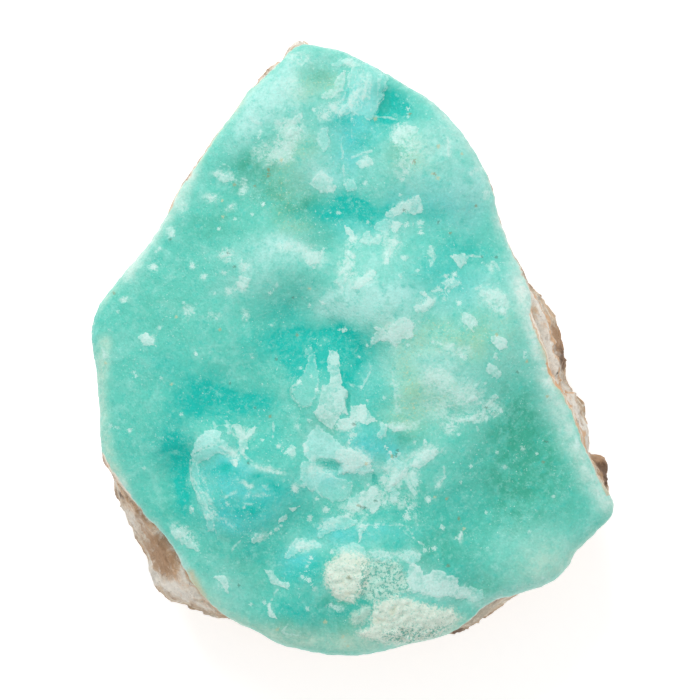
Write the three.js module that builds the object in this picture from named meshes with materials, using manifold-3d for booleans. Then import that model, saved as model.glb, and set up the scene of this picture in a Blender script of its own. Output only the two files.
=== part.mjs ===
// Blue aragonite on its host rock: a palm-sized hand specimen lying on its broken back.
// The upper piece is a swelling, grape-like crust of blue-green aragonite with a worn round rim.
// The lower piece is the banded host rock that it grew on, seen past the crust along three edges.
// Millimetres, +Z up out of the crust, +Y towards the pointed tip, origin under the middle of the
// specimen on the plane that it rests on.

import * as THREE from "three";
import { ImprovedNoise } from "three/addons/math/ImprovedNoise.js";
import { mergeVertices } from "three/addons/utils/BufferGeometryUtils.js";
import Module from "manifold-3d";

const wasm = await Module();
wasm.setup();

// Driving dimensions.
const LENGTH = 92; // tip to foot, along Y
const WIDTH = 78; // across the two shoulders, along X
const CREST = 26.5; // height of the crust over the resting plane, before its swellings
const CROWN_DROP = 3.6; // how much lower the crust lies at its rim than in its middle
const WEDGE = 0.045; // rise of the crust per millimetre towards the foot
const CRUST_THICKNESS = 7.5; // aragonite, in the middle of the specimen
const CRUST_ROUGHNESS = 0.25; // of the crust's top and of the surface that it grew on
const CRUST_GRAIN = 9; // size of the waves on its top
const SEAM_GRAIN = 14; // size of the waves under it
const RIM_ROUGHNESS = 0.35; // of the crust's side, most at its foot
const RIM_GRAIN = 4;
const SEAM = 0.3; // clearance left between the crust and the rock

// Fineness of the two meshes.
const STEPS_ROUND = 120; // points round each full ring
const CRUST_RINGS = 19; // rings inside the rim, each with fewer points than the next
const CRUST_FIELD = 0.88; // share of the radius that those rings cover

// The crust's edge seen from above, clockwise from the tip.
const CRUST_EDGE = [
  [-7.9, 46.1], [-6.1, 45.4], [-2.6, 45.0], [0.2, 43.9], [5.9, 40.7], [10.7, 38.0],
  [14.3, 34.9], [17.9, 30.2], [20.8, 24.8], [21.7, 20.8], [22.7, 17.5], [24.2, 13.7],
  [26.2, 9.2], [26.8, 6.2], [27.5, 3.2], [28.6, 0.8], [29.6, -2.6], [30.4, -5.2],
  [32.0, -7.4], [33.2, -9.5], [34.9, -15.1], [35.7, -17.3], [37.4, -19.6], [38.5, -21.2],
  [39.1, -23.6], [38.9, -25.1], [35.2, -29.0], [33.2, -30.7], [32.6, -32.3], [31.7, -33.8],
  [29.2, -35.3], [24.5, -36.8], [20.3, -38.0], [18.7, -39.8], [15.1, -42.5], [11.6, -43.7],
  [6.8, -44.6], [3.7, -45.7], [-0.4, -45.9], [-3.4, -46.0], [-8.0, -45.1], [-10.7, -44.4],
  [-13.0, -43.3], [-14.0, -42.2], [-17.3, -41.0], [-20.8, -38.8], [-24.1, -34.7],
  [-27.1, -29.0], [-29.5, -26.6], [-32.8, -23.0], [-35.5, -19.3], [-37.3, -17.3],
  [-37.7, -13.6], [-37.9, -8.9], [-38.2, -4.0], [-38.9, 0.1], [-39.1, 2.8], [-38.2, 5.8],
  [-36.1, 8.9], [-32.2, 13.7], [-29.8, 16.3], [-27.8, 19.9], [-25.6, 24.4], [-21.8, 29.3],
  [-17.9, 34.7], [-16.0, 38.0], [-13.9, 40.0], [-9.4, 44.2], [-8.5, 45.9],
];

// Thickness of the crust along its edge: [bearing in degrees, millimetres].
const EDGE_THICKNESS = [
  [-180, 6.5], [-158, 6.0], [-150, 3.6], [-140, 3.1], [-128, 3.0], [-116, 3.6], [-100, 6.8],
  [-80, 6.8], [-66, 3.6], [-58, 3.6], [-45, 6.0], [-33, 5.2], [-26, 3.4], [0, 3.1], [18, 3.3],
  [30, 5.5], [60, 7.2], [90, 6.4], [104, 4.2], [118, 4.8], [140, 4.8], [160, 6.4], [180, 6.5],
];

// How far the rock leans out past its plain undercut side: [bearing in degrees, millimetres].
const ROCK_LEAN = [
  [-180, 0], [-154, 0.6], [-151, 2.4], [-148, 3.6], [-144, 4.6], [-140, 5.4], [-137, 6.4],
  [-133, 7.4], [-128, 7.5], [-126, 7.3], [-124, 6.0], [-121, 4.6], [-118, 3.6], [-114, 2.2],
  [-108, 0], [-74, 0], [-70, 2.4], [-66, 3.1], [-62, 3.3], [-59, 2.8], [-55, 1.0], [-50, 0],
  [-31, 0.8], [-27, 3.2], [-23, 3.8], [-19, 3.3], [-15, 4.0], [-12, 4.4], [-10, 3.6],
  [-4, 4.6], [1, 5.0], [6, 5.4], [11, 5.1], [15, 4.3], [20, 2.8], [27, 0.6], [33, 0],
  [98, 0], [104, 1.8], [107, 2.5], [110, 2.3], [114, 1.2], [122, 2.1], [127, 2.2],
  [132, 1.5], [136, 2.0], [142, 2.1], [148, 0.4], [155, 0], [180, 0],
];

// Broad swellings and hollows of the crust: [x, y, radius, rise].
const SWELLS = [
  [-13.6, 35.0, 12, 1.7], // upper-left shoulder
  [12.0, 28.5, 12, 1.5], // upper-right shoulder
  [-12.0, 13.5, 11, 2.2], // left of centre
  [5.0, 8.0, 10, 2.4], // centre
  [15.0, -0.5, 11, 1.5], // right of centre
  [-30.0, 1.5, 14, 1.1], // left flat
  [-28.0, -12.0, 11, 0.9],
  [28.0, -31.0, 12, 1.4], // lower-right lobe
  [25.5, 3.0, 8, 0.8],
  [-3.4, 19.4, 10, -1.9], // hollow under the shoulders
  [8.6, 18.5, 9, -1.4],
  [18.5, 16.0, 9, -1.2],
  [-8.0, 3.5, 9, -1.9], // hollow in the middle
  [-0.6, 0.4, 7, -1.3],
  [-15.4, -7.0, 9, -1.0],
  [-25.0, -18.5, 6, -1.6], // gutter beside the lower-left knob
  [26.5, -12.5, 10, -1.6], // long hollow down the right side
  [20.5, -23.0, 10, -1.5],
];

// Grape-like knobs with a creased foot: [x, y, radius, rise].
const KNOBS = [
  [-16.5, -21.0, 8.8, 2.6],
  [-19.5, -14.6, 5.0, 1.9],
  [-10.0, -19.0, 5.6, 1.8],
  [5.2, -35.4, 11.2, 2.9],
  [0.2, -33.8, 6.4, 2.8],
  [9.0, -39.0, 6.6, 2.5],
  [-5.4, -34.4, 5.4, 2.0],
  [-8.0, -38.4, 5.2, 1.4],
  [13.6, -33.6, 4.8, 1.7],
  [-3.4, -7.4, 5.2, 1.2],
  [0.6, -14.2, 5.6, 1.3],
];

// Shallow chips flaked out of the crust: [x, y, radius, depth].
const CHIPS = [
  [5.9, 35.4, 4.4, 1.6], // pocket beside the raised plate near the tip
  [-1.2, 29.6, 4.6, 0.8],
  [2.4, -3.6, 4.4, 0.9],
  [-3.2, 3.4, 3.6, 0.7],
  [12.4, -9.6, 3.8, 0.8],
  [-7.6, -26.6, 4.2, 0.8],
  [-2.2, 42.0, 3.4, 0.7],
];

// Lumps of rusty crust stuck to the rock's flank:
// [bearing in degrees, height, radius, reach beyond the flank, length over width].
const LUMPS = [
  [-25.6, 13.5, 2.1, 1.9, 1.0],
  [4.0, 12.0, 3.2, 0.6, 1.9],
  [-63.0, 11.0, 2.8, 0.3, 1.7],
];
const LUMP_ROUGHNESS = 0.16; // share of a lump's radius

// Flat breaks across the rock:
// [bearing in degrees, degrees that it faces downwards, distance from the middle of the rock].
const BREAKS = [
  [-168, 34, 31.0], [152, 22, 29.0], [128, 40, 28.5], [102, 30, 39.5], [78, 46, 29.5],
  [48, 26, 29.0], [22, 44, 24.0], [-6, 52, 23.5], [-38, 30, 37.5], [-58, 48, 30.0],
  [-88, 32, 38.0], [-112, 50, 31.0], [-140, 46, 32.0], [-20, 68, 19.0], [140, 70, 18.0],
  [-80, 74, 17.5],
];
const ROCK_MIDDLE = 10; // height of the point that those distances are measured from

// Profile of the crust's rim, from its top down to its underside:
// [share of the edge's radius, share of the crust's thickness].
const CRUST_RIM = [
  [0.918, 1.0], [0.95, 0.985], [0.974, 0.94], [0.991, 0.84], [1.0, 0.66], [0.998, 0.4],
  [0.99, 0.16], [0.974, 0],
];
// Rings across the seam, shared by the crust's underside and the rock's top:
// [share of the radius, share of the points].
const SEAM_RINGS = [[0.88, 0.8], [0.72, 0.5], [0.36, 0.2], [0, 0]];

// Side of the rock from the crust down to the resting plane:
// [share of its height, undercut, share of the lean, bedding ledge, share of the roughness].
const ROCK_SIDE = [
  [1.0, 0.9, 0.2, 0, 0.1], [0.95, 0.6, 0.38, 0.15, 0.3], [0.88, 0.8, 0.55, -0.2, 0.5],
  [0.78, 0.9, 0.75, 0.3, 0.8], [0.65, 1.3, 0.92, -0.2, 1], [0.5, 1.6, 1.0, 0.3, 1],
  [0.36, 1.9, 1.0, -0.3, 1], [0.22, 2.4, 0.9, 0.2, 1], [0.1, 3.2, 0.75, 0, 1],
  [0.0, 4.6, 0.6, 0, 0.6],
];
// Rings across the rock's underside: [share of the radius, share of the points].
const ROCK_UNDER = [
  [0.94, 0.66], [0.88, 0.58], [0.81, 0.52], [0.74, 0.46], [0.67, 0.42], [0.6, 0.37],
  [0.52, 0.32], [0.4, 0.25], [0.26, 0.16], [0.12, 0.08], [0, 0],
];

// Roughness of the rock.
const ROCK_ROUGHNESS = 1.2;
const ROCK_GRAIN = 7; // size of its lumps
const FOOT_Y = -2; // middle of the flat worn patch that it stands on
const FOOT_RADIUS = 15; // the patch is flat at least this far out
const FOOT_BLEND = 8; // the broken underside takes over within this distance of the patch
const FOOT_RISE = 0.5; // mean height of the underside beyond the patch
const FOOT_ROUGHNESS = 1.7;
const FOOT_GRAIN = 10;

const COLOURS = {
  aragonite: { color: 0x5fcbb9, roughness: 0.45, metalness: 0 },
  rock: { color: 0xb39a80, roughness: 0.9, metalness: 0 },
};

const perlin = new ImprovedNoise();

/** Smooth bump: 1 at the middle, 0 at a distance of 1 and beyond, level at both. */
function softBump(distance) {
  return distance < 1 ? (1 - distance * distance) ** 2 : 0;
}

/** Round cap: 1 at the middle, 0 at a distance of 1, where it meets the ground at an angle. */
function roundCap(distance) {
  return distance < 1 ? 1 - distance * distance : 0;
}

/** Two octaves of noise at a point, of the given grain size in millimetres. */
function rough(x, y, z, grain) {
  return perlin.noise(x / grain, y / grain, z / grain)
    + 0.5 * perlin.noise((2.1 * x) / grain + 7, (2.1 * y) / grain, (2.1 * z) / grain);
}

/** Table of the crust's edge as [bearing, radius], sorted by bearing, from a smooth curve. */
function edgeTable() {
  const points = CRUST_EDGE.map(([x, y]) => new THREE.Vector3(x, y, 0));
  return new THREE.CatmullRomCurve3(points, true, "centripetal")
    .getPoints(900)
    .map((p) => [Math.atan2(p.y, p.x), Math.hypot(p.x, p.y)])
    .sort((a, b) => a[0] - b[0]);
}

/** Value at a key in a sorted table of [key, value], straight between its rows. */
function lookUp(table, key) {
  const next = table.findIndex(([k]) => k > key);
  if (next <= 0) return table[next === 0 ? 0 : table.length - 1][1];
  const [k0, v0] = table[next - 1];
  const [k1, v1] = table[next];
  return v0 + ((v1 - v0) * (key - k0)) / (k1 - k0);
}

const EDGE = edgeTable();
const edgeRadius = (bearing) => lookUp(EDGE, bearing);
const rockLean = (bearing) => lookUp(ROCK_LEAN, THREE.MathUtils.radToDeg(bearing));
const edgeThickness = (bearing) => lookUp(EDGE_THICKNESS, THREE.MathUtils.radToDeg(bearing));

/** Height of the plain crowned wedge that the crust follows. */
function crown(x, y) {
  const spread = Math.hypot(x / (WIDTH / 2), y / (LENGTH / 2));
  return CREST - CROWN_DROP * spread * spread - WEDGE * y;
}

/** Height of the crust's upper surface over the resting plane. */
function crustTop(x, y) {
  let z = crown(x, y);
  for (const [cx, cy, r, rise] of SWELLS) z += rise * softBump(Math.hypot(x - cx, y - cy) / r);
  const caps = KNOBS.map(([cx, cy, r, rise]) => rise * roundCap(Math.hypot(x - cx, y - cy) / r));
  z += Math.max(...caps);
  for (const [cx, cy, r, depth] of CHIPS) z -= depth * roundCap(Math.hypot(x - cx, y - cy) / r);
  return z + CRUST_ROUGHNESS * rough(x, y, 3, CRUST_GRAIN);
}

/** Height of the surface on which the crust grew. */
function seam(x, y) {
  const bearing = Math.atan2(y, x);
  const share = Math.min(1, Math.hypot(x, y) / edgeRadius(bearing));
  const thickness = THREE.MathUtils.lerp(CRUST_THICKNESS, edgeThickness(bearing), share ** 3);
  return crown(x, y) - thickness + CRUST_ROUGHNESS * rough(x, y, 9, SEAM_GRAIN);
}

/** Height of the rock's broken underside, flat where it stands on the surface below. */
function underside(x, y) {
  const outside = (Math.hypot(x, y - FOOT_Y) - FOOT_RADIUS) / FOOT_BLEND;
  const beyond = THREE.MathUtils.clamp(outside, 0, 1);
  return Math.max(0, beyond * (FOOT_RISE + FOOT_ROUGHNESS * rough(x, y, 21, FOOT_GRAIN)));
}

/**
 * Closed body made of rings, from the middle of its top to the middle of its underside. A ring is
 * [share, level, points], and a placing function turns its bearing, share and level into a point.
 */
function ringed(rings, place) {
  const positions = [];
  const starts = [];
  for (const [share, level, points] of rings) {
    starts.push(positions.length / 3);
    for (let i = 0; i < points; i++) {
      const bearing = -Math.PI + (2 * Math.PI * i) / points;
      positions.push(...place(bearing, share, level));
    }
  }
  const index = [];
  for (let k = 1; k < rings.length; k++) {
    const [upper, lower] = [rings[k - 1][2], rings[k][2]];
    const [a0, b0] = [starts[k - 1], starts[k]];
    for (let i = 0, j = 0; i < upper || j < lower;) {
      const stepUpper = j >= lower || (i < upper && (i + 1) / upper <= (j + 1) / lower);
      const [a, b] = [a0 + (i % upper), b0 + (j % lower)];
      if (stepUpper) index.push(a, b, a0 + ((++i) % upper));
      else index.push(a, b, b0 + ((++j) % lower));
    }
  }
  const g = new THREE.BufferGeometry();
  g.setAttribute("position", new THREE.Float32BufferAttribute(positions, 3));
  g.setIndex(index);
  return g;
}

/** Rings given as [share, level, share of the points], with the points of each counted out. */
function counted(rows) {
  return rows.map(([share, level, part = 1]) => {
    return [share, level, Math.max(1, Math.round(part * STEPS_ROUND))];
  });
}

/** A geometry as a manifold solid, with its doubled points merged and its sliver faces dropped. */
function solidOf(geometry) {
  const merged = mergeVertices(geometry, 1e-4);
  const index = merged.index.array;
  const kept = [];
  for (let i = 0; i < index.length; i += 3) {
    const [a, b, c] = [index[i], index[i + 1], index[i + 2]];
    if (a !== b && b !== c && c !== a) kept.push(a, b, c);
  }
  return new wasm.Manifold(
    new wasm.Mesh({
      numProp: 3,
      vertProperties: merged.getAttribute("position").array,
      triVerts: new Uint32Array(kept),
    }),
  );
}

/** A manifold solid as a named mesh. */
function meshOf(name, solid, finish) {
  const { vertProperties, triVerts } = solid.getMesh();
  const g = new THREE.BufferGeometry();
  g.setAttribute("position", new THREE.BufferAttribute(vertProperties, 3));
  g.setIndex(new THREE.BufferAttribute(triVerts, 1));
  g.computeVertexNormals();
  const mesh = new THREE.Mesh(g, new THREE.MeshStandardMaterial({ ...finish, flatShading: true }));
  mesh.name = name;
  return mesh;
}

/** The blue-green crust. */
function aragoniteCrust() {
  const field = Array.from({ length: CRUST_RINGS }, (_, i) => {
    const share = (CRUST_FIELD * i) / (CRUST_RINGS - 1);
    return [share, 1, share];
  });
  const under = SEAM_RINGS.map(([share, part]) => [share, 0, part]);
  const rings = counted([...field, ...CRUST_RIM, ...under]);
  return solidOf(
    ringed(rings, (bearing, share, level) => {
      const radius = edgeRadius(bearing);
      const wall = level > 0 && level < 1 ? RIM_ROUGHNESS * (1 - level) : 0;
      const [edgeX, edgeY] = [radius * Math.cos(bearing), radius * Math.sin(bearing)];
      const reach = share * radius + wall * rough(edgeX, edgeY, 4, RIM_GRAIN);
      const x = reach * Math.cos(bearing);
      const y = reach * Math.sin(bearing);
      return [x, y, THREE.MathUtils.lerp(seam(x, y), crustTop(x, y), level)];
    }),
  );
}

/** How far out the rock's side lies at a bearing and a share of its height. */
function rockReach(bearing, level) {
  const side = [...ROCK_SIDE].reverse();
  const [undercut, leanShare, ledge, roughness] = [1, 2, 3, 4].map((i) =>
    lookUp(side.map((row) => [row[0], row[i]]), level),
  );
  const reach = edgeRadius(bearing) - undercut + leanShare * rockLean(bearing) + ledge;
  const [x, y] = [reach * Math.cos(bearing), reach * Math.sin(bearing)];
  return reach + ROCK_ROUGHNESS * roughness * rough(x, y, 18 * level, ROCK_GRAIN);
}

/** A point of the rock, pulled in to the flat breaks that it lies beyond. */
function brokenOff(x, y, z) {
  const p = new THREE.Vector3(x, y, z);
  for (const [bearingDegrees, downDegrees, distance] of BREAKS) {
    const bearing = THREE.MathUtils.degToRad(bearingDegrees);
    const down = THREE.MathUtils.degToRad(downDegrees);
    const facing = new THREE.Vector3(
      Math.cos(down) * Math.cos(bearing),
      Math.cos(down) * Math.sin(bearing),
      -Math.sin(down),
    );
    const beyond = p.x * facing.x + p.y * facing.y + (p.z - ROCK_MIDDLE) * facing.z - distance;
    if (beyond > 0) p.addScaledVector(facing, -beyond);
  }
  return [p.x, p.y, Math.max(0, p.z)];
}

/** A lump of rusty crust on the rock's flank. */
function lump([bearingDegrees, height, radius, reach, length], index) {
  const bearing = THREE.MathUtils.degToRad(bearingDegrees);
  const distance = rockReach(bearing, height / seam(0, 0)) - radius + reach;
  const g = new THREE.IcosahedronGeometry(radius, 2);
  g.deleteAttribute("normal");
  g.deleteAttribute("uv");
  const position = g.getAttribute("position");
  const p = new THREE.Vector3();
  for (let i = 0; i < position.count; i++) {
    p.fromBufferAttribute(position, i);
    p.multiplyScalar(1 + LUMP_ROUGHNESS * rough(p.x + 11 * index, p.y, p.z, radius));
    position.setXYZ(i, p.x, p.y * length, p.z);
  }
  g.rotateZ(bearing);
  g.translate(distance * Math.cos(bearing), distance * Math.sin(bearing), height);
  return solidOf(g);
}

/** The host rock, with its lumps joined on. */
function hostRock() {
  const top = SEAM_RINGS.map(([share, part]) => [share, 1, part]).reverse();
  const side = ROCK_SIDE.map(([level]) => [1, level]);
  const under = ROCK_UNDER.map(([share, part]) => [share, 0, part]);
  const rings = counted([...top, ...side, ...under]);
  const body = solidOf(
    ringed(rings, (bearing, share, level) => {
      const reach = share * rockReach(bearing, level);
      const [x, y] = [reach * Math.cos(bearing), reach * Math.sin(bearing)];
      const z = THREE.MathUtils.lerp(underside(x, y), seam(x, y) - SEAM, level);
      return level < 1 ? brokenOff(x, y, z) : [x, y, z];
    }),
  );
  return LUMPS.map(lump).reduce((rock, piece) => rock.add(piece), body);
}

const specimen = new THREE.Group();
const crust = aragoniteCrust();
specimen.add(meshOf("aragonite_crust", crust, COLOURS.aragonite));
specimen.add(meshOf("host_rock", hostRock(), COLOURS.rock));

// The footprint's middle goes over the origin.
const middle = new THREE.Box3().setFromObject(specimen).getCenter(new THREE.Vector3());
for (const mesh of specimen.children) mesh.geometry.translate(-middle.x, -middle.y, 0);

export default specimen;
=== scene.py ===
"""Blue aragonite on banded host rock: a palm-sized hand specimen that lies on its broken back.

Everything is in metres, in the frame of the CAD model: +Z up out of the crust and +Y towards the
pointed tip. Places on the specimen are given in millimetres from its middle.
"""

import logging
import math
from dataclasses import dataclass
from enum import Enum
from typing import Sequence, Union

import bmesh
import bpy
import numpy as np
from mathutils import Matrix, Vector, noise


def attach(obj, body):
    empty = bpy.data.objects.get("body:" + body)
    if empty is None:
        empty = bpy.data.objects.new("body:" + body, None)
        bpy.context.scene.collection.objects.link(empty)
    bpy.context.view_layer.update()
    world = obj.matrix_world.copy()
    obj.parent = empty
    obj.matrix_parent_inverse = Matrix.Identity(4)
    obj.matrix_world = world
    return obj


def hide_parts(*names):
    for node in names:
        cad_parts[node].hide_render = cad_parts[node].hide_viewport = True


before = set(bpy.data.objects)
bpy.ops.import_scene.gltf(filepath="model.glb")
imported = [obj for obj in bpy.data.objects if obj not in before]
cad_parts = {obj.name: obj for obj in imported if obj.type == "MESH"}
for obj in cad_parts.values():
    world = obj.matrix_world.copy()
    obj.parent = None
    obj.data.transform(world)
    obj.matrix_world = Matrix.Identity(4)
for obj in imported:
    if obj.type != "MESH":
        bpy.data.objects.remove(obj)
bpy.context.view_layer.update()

log = logging.getLogger("aragonite")

MM = 0.001
BODY = "root"
BEARINGS = 240  # directions from the middle in which an outline is measured
ABOVE_ALL = 99.0  # higher than any point of the specimen, in mm
FAR = 2.5  # distances beyond this from a mark's edge aren't told apart, in mm
DOT_REACH = 0.6  # how far round a speck its place is kept, in mm
TINY = 1e-9  # keeps a length that is divided by above zero

Socket = bpy.types.NodeSocket
Value = Union[float, Socket]
Row = tuple[float, ...]


# Shapes of the marks on the crust


@dataclass(frozen=True)
class Haze:
    """A soft oval: middle, half length and half width in mm, strength, and turn in degrees."""

    x: float
    y: float
    long: float
    wide: float
    strength: float = 1.0
    turn: float = 0.0

    def over(self, plan: np.ndarray) -> np.ndarray:
        """Gives how strong the oval is at each point.

        Args:
            plan: points seen from above, in mm.

        Returns:
            The strength in the middle, fading like a bell curve.
        """
        angle = math.radians(self.turn)
        x, y = plan[:, 0] - self.x, plan[:, 1] - self.y
        along = (x * math.cos(angle) + y * math.sin(angle)) / self.long
        across = (y * math.cos(angle) - x * math.sin(angle)) / self.wide
        return self.strength * np.exp(-(along**2 + across**2))


@dataclass(frozen=True)
class Flake:
    """A cleaved flake with an angular outline in mm, and how white it is."""

    tone: float
    outline: tuple[Row, ...]

    def inside(self, plan: np.ndarray) -> np.ndarray:
        """Gives how deep inside the outline each point lies.

        Args:
            plan: points seen from above, in mm.

        Returns:
            Distances in mm, below zero outside.
        """
        corners = np.array(self.outline)
        distance = np.full(len(plan), np.inf)
        crossed = np.zeros(len(plan), bool)
        for start, end in zip(corners, np.roll(corners, -1, axis=0)):
            distance = np.minimum(distance, away_from_line(plan, start, end))
            straddles = (start[1] > plan[:, 1]) != (end[1] > plan[:, 1])
            rise = end[1] - start[1] if end[1] != start[1] else TINY
            crossing = start[0] + (plan[:, 1] - start[1]) * (end[0] - start[0]) / rise
            crossed ^= straddles & (plan[:, 0] < crossing)
        return np.where(crossed, distance, -distance)


@dataclass(frozen=True)
class Streak:
    """A thin curved mark or a soft band: its strength, half width and path in mm."""

    tone: float
    half_width: float
    outline: tuple[Row, ...]

    def away(self, plan: np.ndarray) -> np.ndarray:
        """Measures how far points are from the path.

        Args:
            plan: points seen from above, in mm.

        Returns:
            Distances in mm.
        """
        points = np.array(self.outline)
        runs = zip(points[:-1], points[1:])
        return np.min([away_from_line(plan, start, end) for start, end in runs], axis=0)

    def inside(self, plan: np.ndarray) -> np.ndarray:
        """Gives how deep inside the mark each point lies, below zero outside."""
        return self.half_width - self.away(plan)

    def over(self, plan: np.ndarray) -> np.ndarray:
        """Gives how strong the band is at each point, fading like a bell curve."""
        return self.tone * np.exp(-((self.away(plan) / self.half_width) ** 2))


@dataclass(frozen=True)
class Dot:
    """A speck: how light it is, its middle and its radius in mm."""

    tone: float
    x: float
    y: float
    radius: float


Mark = Union[Flake, Streak]
Soft = Union[Haze, Streak]


def hazes(*rows: Row) -> tuple[Haze, ...]:
    """Makes soft ovals from rows of their values."""
    return tuple(Haze(*row) for row in rows)


def flakes(*rows: Row) -> tuple[Flake, ...]:
    """Makes flakes from rows of their tone and the x and y of each corner."""
    return tuple(Flake(row[0], tuple(zip(row[1::2], row[2::2]))) for row in rows)


def streaks(*rows: Row) -> tuple[Streak, ...]:
    """Makes streaks from rows of their tone, half width and the x and y along their path."""
    return tuple(Streak(row[0], row[1], tuple(zip(row[2::2], row[3::2]))) for row in rows)


def dots(*rows: Row) -> tuple[Dot, ...]:
    """Makes specks from rows of their values."""
    return tuple(Dot(*row) for row in rows)


def away_from_line(plan: np.ndarray, start: np.ndarray, end: np.ndarray) -> np.ndarray:
    """Measures how far points are from a straight line between two ends.

    Args:
        plan: points seen from above, in mm.
        start: one end of the line.
        end: its other end.

    Returns:
        Distances in mm.
    """
    run = end - start
    share = np.clip(((plan - start) @ run) / max(float(run @ run), TINY), 0.0, 1.0)
    return np.linalg.norm(plan - start - share[:, None] * run, axis=1)


def laid_over(marks: Sequence[Mark], plan: np.ndarray) -> tuple[np.ndarray, np.ndarray]:
    """Lays marks over each other.

    Args:
        marks: the marks, of which the deepest one wins at each point.
        plan: points seen from above, in mm.

    Returns:
        How deep inside the winning mark each point lies, in mm, and how white that mark is.
    """
    depth = np.full(len(plan), -FAR)
    tone = np.zeros(len(plan))
    for mark in marks:
        low = np.min(mark.outline, axis=0) - FAR
        high = np.max(mark.outline, axis=0) + FAR
        near = np.flatnonzero(np.all((plan > low) & (plan < high), axis=1))
        if not len(near):
            continue
        inside = mark.inside(plan[near])
        wins = inside > depth[near]
        depth[near[wins]] = inside[wins]
        tone[near[wins]] = mark.tone
    return depth, tone


def nearest_dot(specks: Sequence[Dot], plan: np.ndarray) -> tuple[np.ndarray, np.ndarray]:
    """Finds the speck that each point belongs to.

    Args:
        specks: the specks.
        plan: points seen from above, in mm.

    Returns:
        The way from the speck's middle in radii with the speck's tone as third part, and 1 where
        a speck is near enough to show.
    """
    offset = np.zeros((len(plan), 3))
    nearest = np.full(len(plan), DOT_REACH)
    for dot in specks:
        away = plan - (dot.x, dot.y)
        gap = np.hypot(away[:, 0], away[:, 1]) - dot.radius
        wins = gap < nearest
        nearest[wins] = gap[wins]
        offset[wins, :2] = away[wins] / dot.radius
        offset[wins, 2] = dot.tone
    return offset, (nearest < DOT_REACH).astype(float)


def summed(softs: Sequence[Soft], plan: np.ndarray) -> np.ndarray:
    """Adds soft ovals and bands up.

    Args:
        softs: the ovals and bands.
        plan: points seen from above, in mm.

    Returns:
        Their summed strength at each point, between 0 and 1.
    """
    return np.clip(sum(soft.over(plan) for soft in softs), 0.0, 1.0)


def noise_over(points: np.ndarray, grain: float, seed: float = 0.0, octaves: int = 2) -> np.ndarray:
    """Reads smooth noise at points.

    Args:
        points: points in mm.
        grain: size of the noise's lumps in mm.
        seed: shift that gives another pattern.
        octaves: how many finer layers are added, each half as strong.

    Returns:
        Noise between about -1 and 1.
    """
    shift = Vector((seed, -seed, 0.7 * seed))
    return np.array(
        [noise.fractal(Vector(p) / grain + shift, 1.0, 2.0, octaves) for p in points.tolist()]
    )


def facets_over(points: np.ndarray, size: float, seed: float) -> np.ndarray:
    """Breaks points into tilted facets, as on a chipped stone.

    Args:
        points: points in mm.
        size: size of a facet in mm.
        seed: shift that gives another pattern.

    Returns:
        The facets' height at each point, between about -1 and 1.
    """
    shift = Vector((seed, seed, seed))
    heights = np.empty(len(points))
    for row, place in enumerate(points.tolist()):
        spot = Vector(place) / size + shift
        middle = noise.voronoi(spot)[1][0]
        tilt = noise.cell_vector(middle * 7.3)
        heights[row] = (spot - middle).dot(tilt - Vector((0.5, 0.5, 0.5))) * 2 + tilt.x - 0.5
    return heights


def smooth_rise(value: np.ndarray, low: float, high: float) -> np.ndarray:
    """Rises smoothly from 0 at low to 1 at high.

    Args:
        value: values to map.
        low: where the rise starts.
        high: where it ends.

    Returns:
        Values between 0 and 1.
    """
    share = np.clip((value - low) / (high - low), 0.0, 1.0)
    return share * share * (3.0 - 2.0 * share)


# Places of the marks, in mm

WHITE = streaks(
    (0.65, 1.4, 25.2, 9, 26.4, 4, 27.6, 0, 29.2, -4.6),
    (0.52, 1.8, 30.2, -7, 31.4, -10, 33.4, -15, 35.8, -19.5, 37.6, -23),
    (0.45, 1.3, 10.5, 38.8, 13.5, 36.4, 16.6, 32.2, 19.6, 28, 21.5, 23.5, 22.5, 19),
    (0.4, 1.2, 22.5, 19, 24, 13, 25.4, 8),
    (0.6, 1.1, -35, -20.2, -32.8, -24, -30.4, -26.4, -27, -30.5, -24.6, -34.5),
    (0.35, 1.2, 19, -38, 25, -36.4, 29, -35.4),
    (0.15, 1, -9.5, 45.2, -4, 44.6, 2, 43.6, 6, 41, 10, 38.6),
    (0.55, 1.5, -33.6, 11, -30, 17.4, -27, 21.4, -24.6, 26),
)
CREAM = streaks(
    (0.58, 1.1, -37, 1, -37.6, -4, -37.4, -10, -36.6, -16, -34.6, -20),
    (0.6, 0.8, -22.8, 28.6, -17, 37),
    (0.35, 0.8, -38, 6, -32, 14, -27.5, 20, -24, 26, -20, 33, -14, 40.4),
    (0.4, 1.1, 38.8, -23, 38.8, -25.5, 36.5, -28, 33, -31.5, 32.4, -34),
    (0.65, 1.9, -24, -36, -19, -40.4, -14, -42.6, -2, -44, 10, -43.4, 16, -41.4),
) + hazes((28.9, -32, 5.1, 3.6, 0.5, 20))
BANDED = streaks(  # where lines of rock show along the rim
    (0.3, 1.2, 19.6, 28, 22.5, 19, 24.4, 13, 26.4, 9),
    (0.9, 2, 27.6, 4, 29.4, -1, 31, -5),
    (0.6, 1.8, 32, -8, 35, -14, 38.4, -19),
    (0.32, 1.2, -27.6, 20.4, -23, 28, -17, 37, -12.6, 42.4, -8.6, 46),
    (0.55, 1, -37.6, -16.4, -35.6, -19.6, -32, -25),
    (0.45, 0.9, -23.6, -36.6, -19.6, -40.6, -15, -44),
)
TAN = streaks((0.6, 0.6, -24.2, -33.4, -22.8, -36, -21.6, -38.6)) + hazes(
    (28.4, -0.4, 1.8, 0.5, 0.5, -70), (30.6, -5.6, 2.2, 0.5, 0.5, -60)
)
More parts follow.
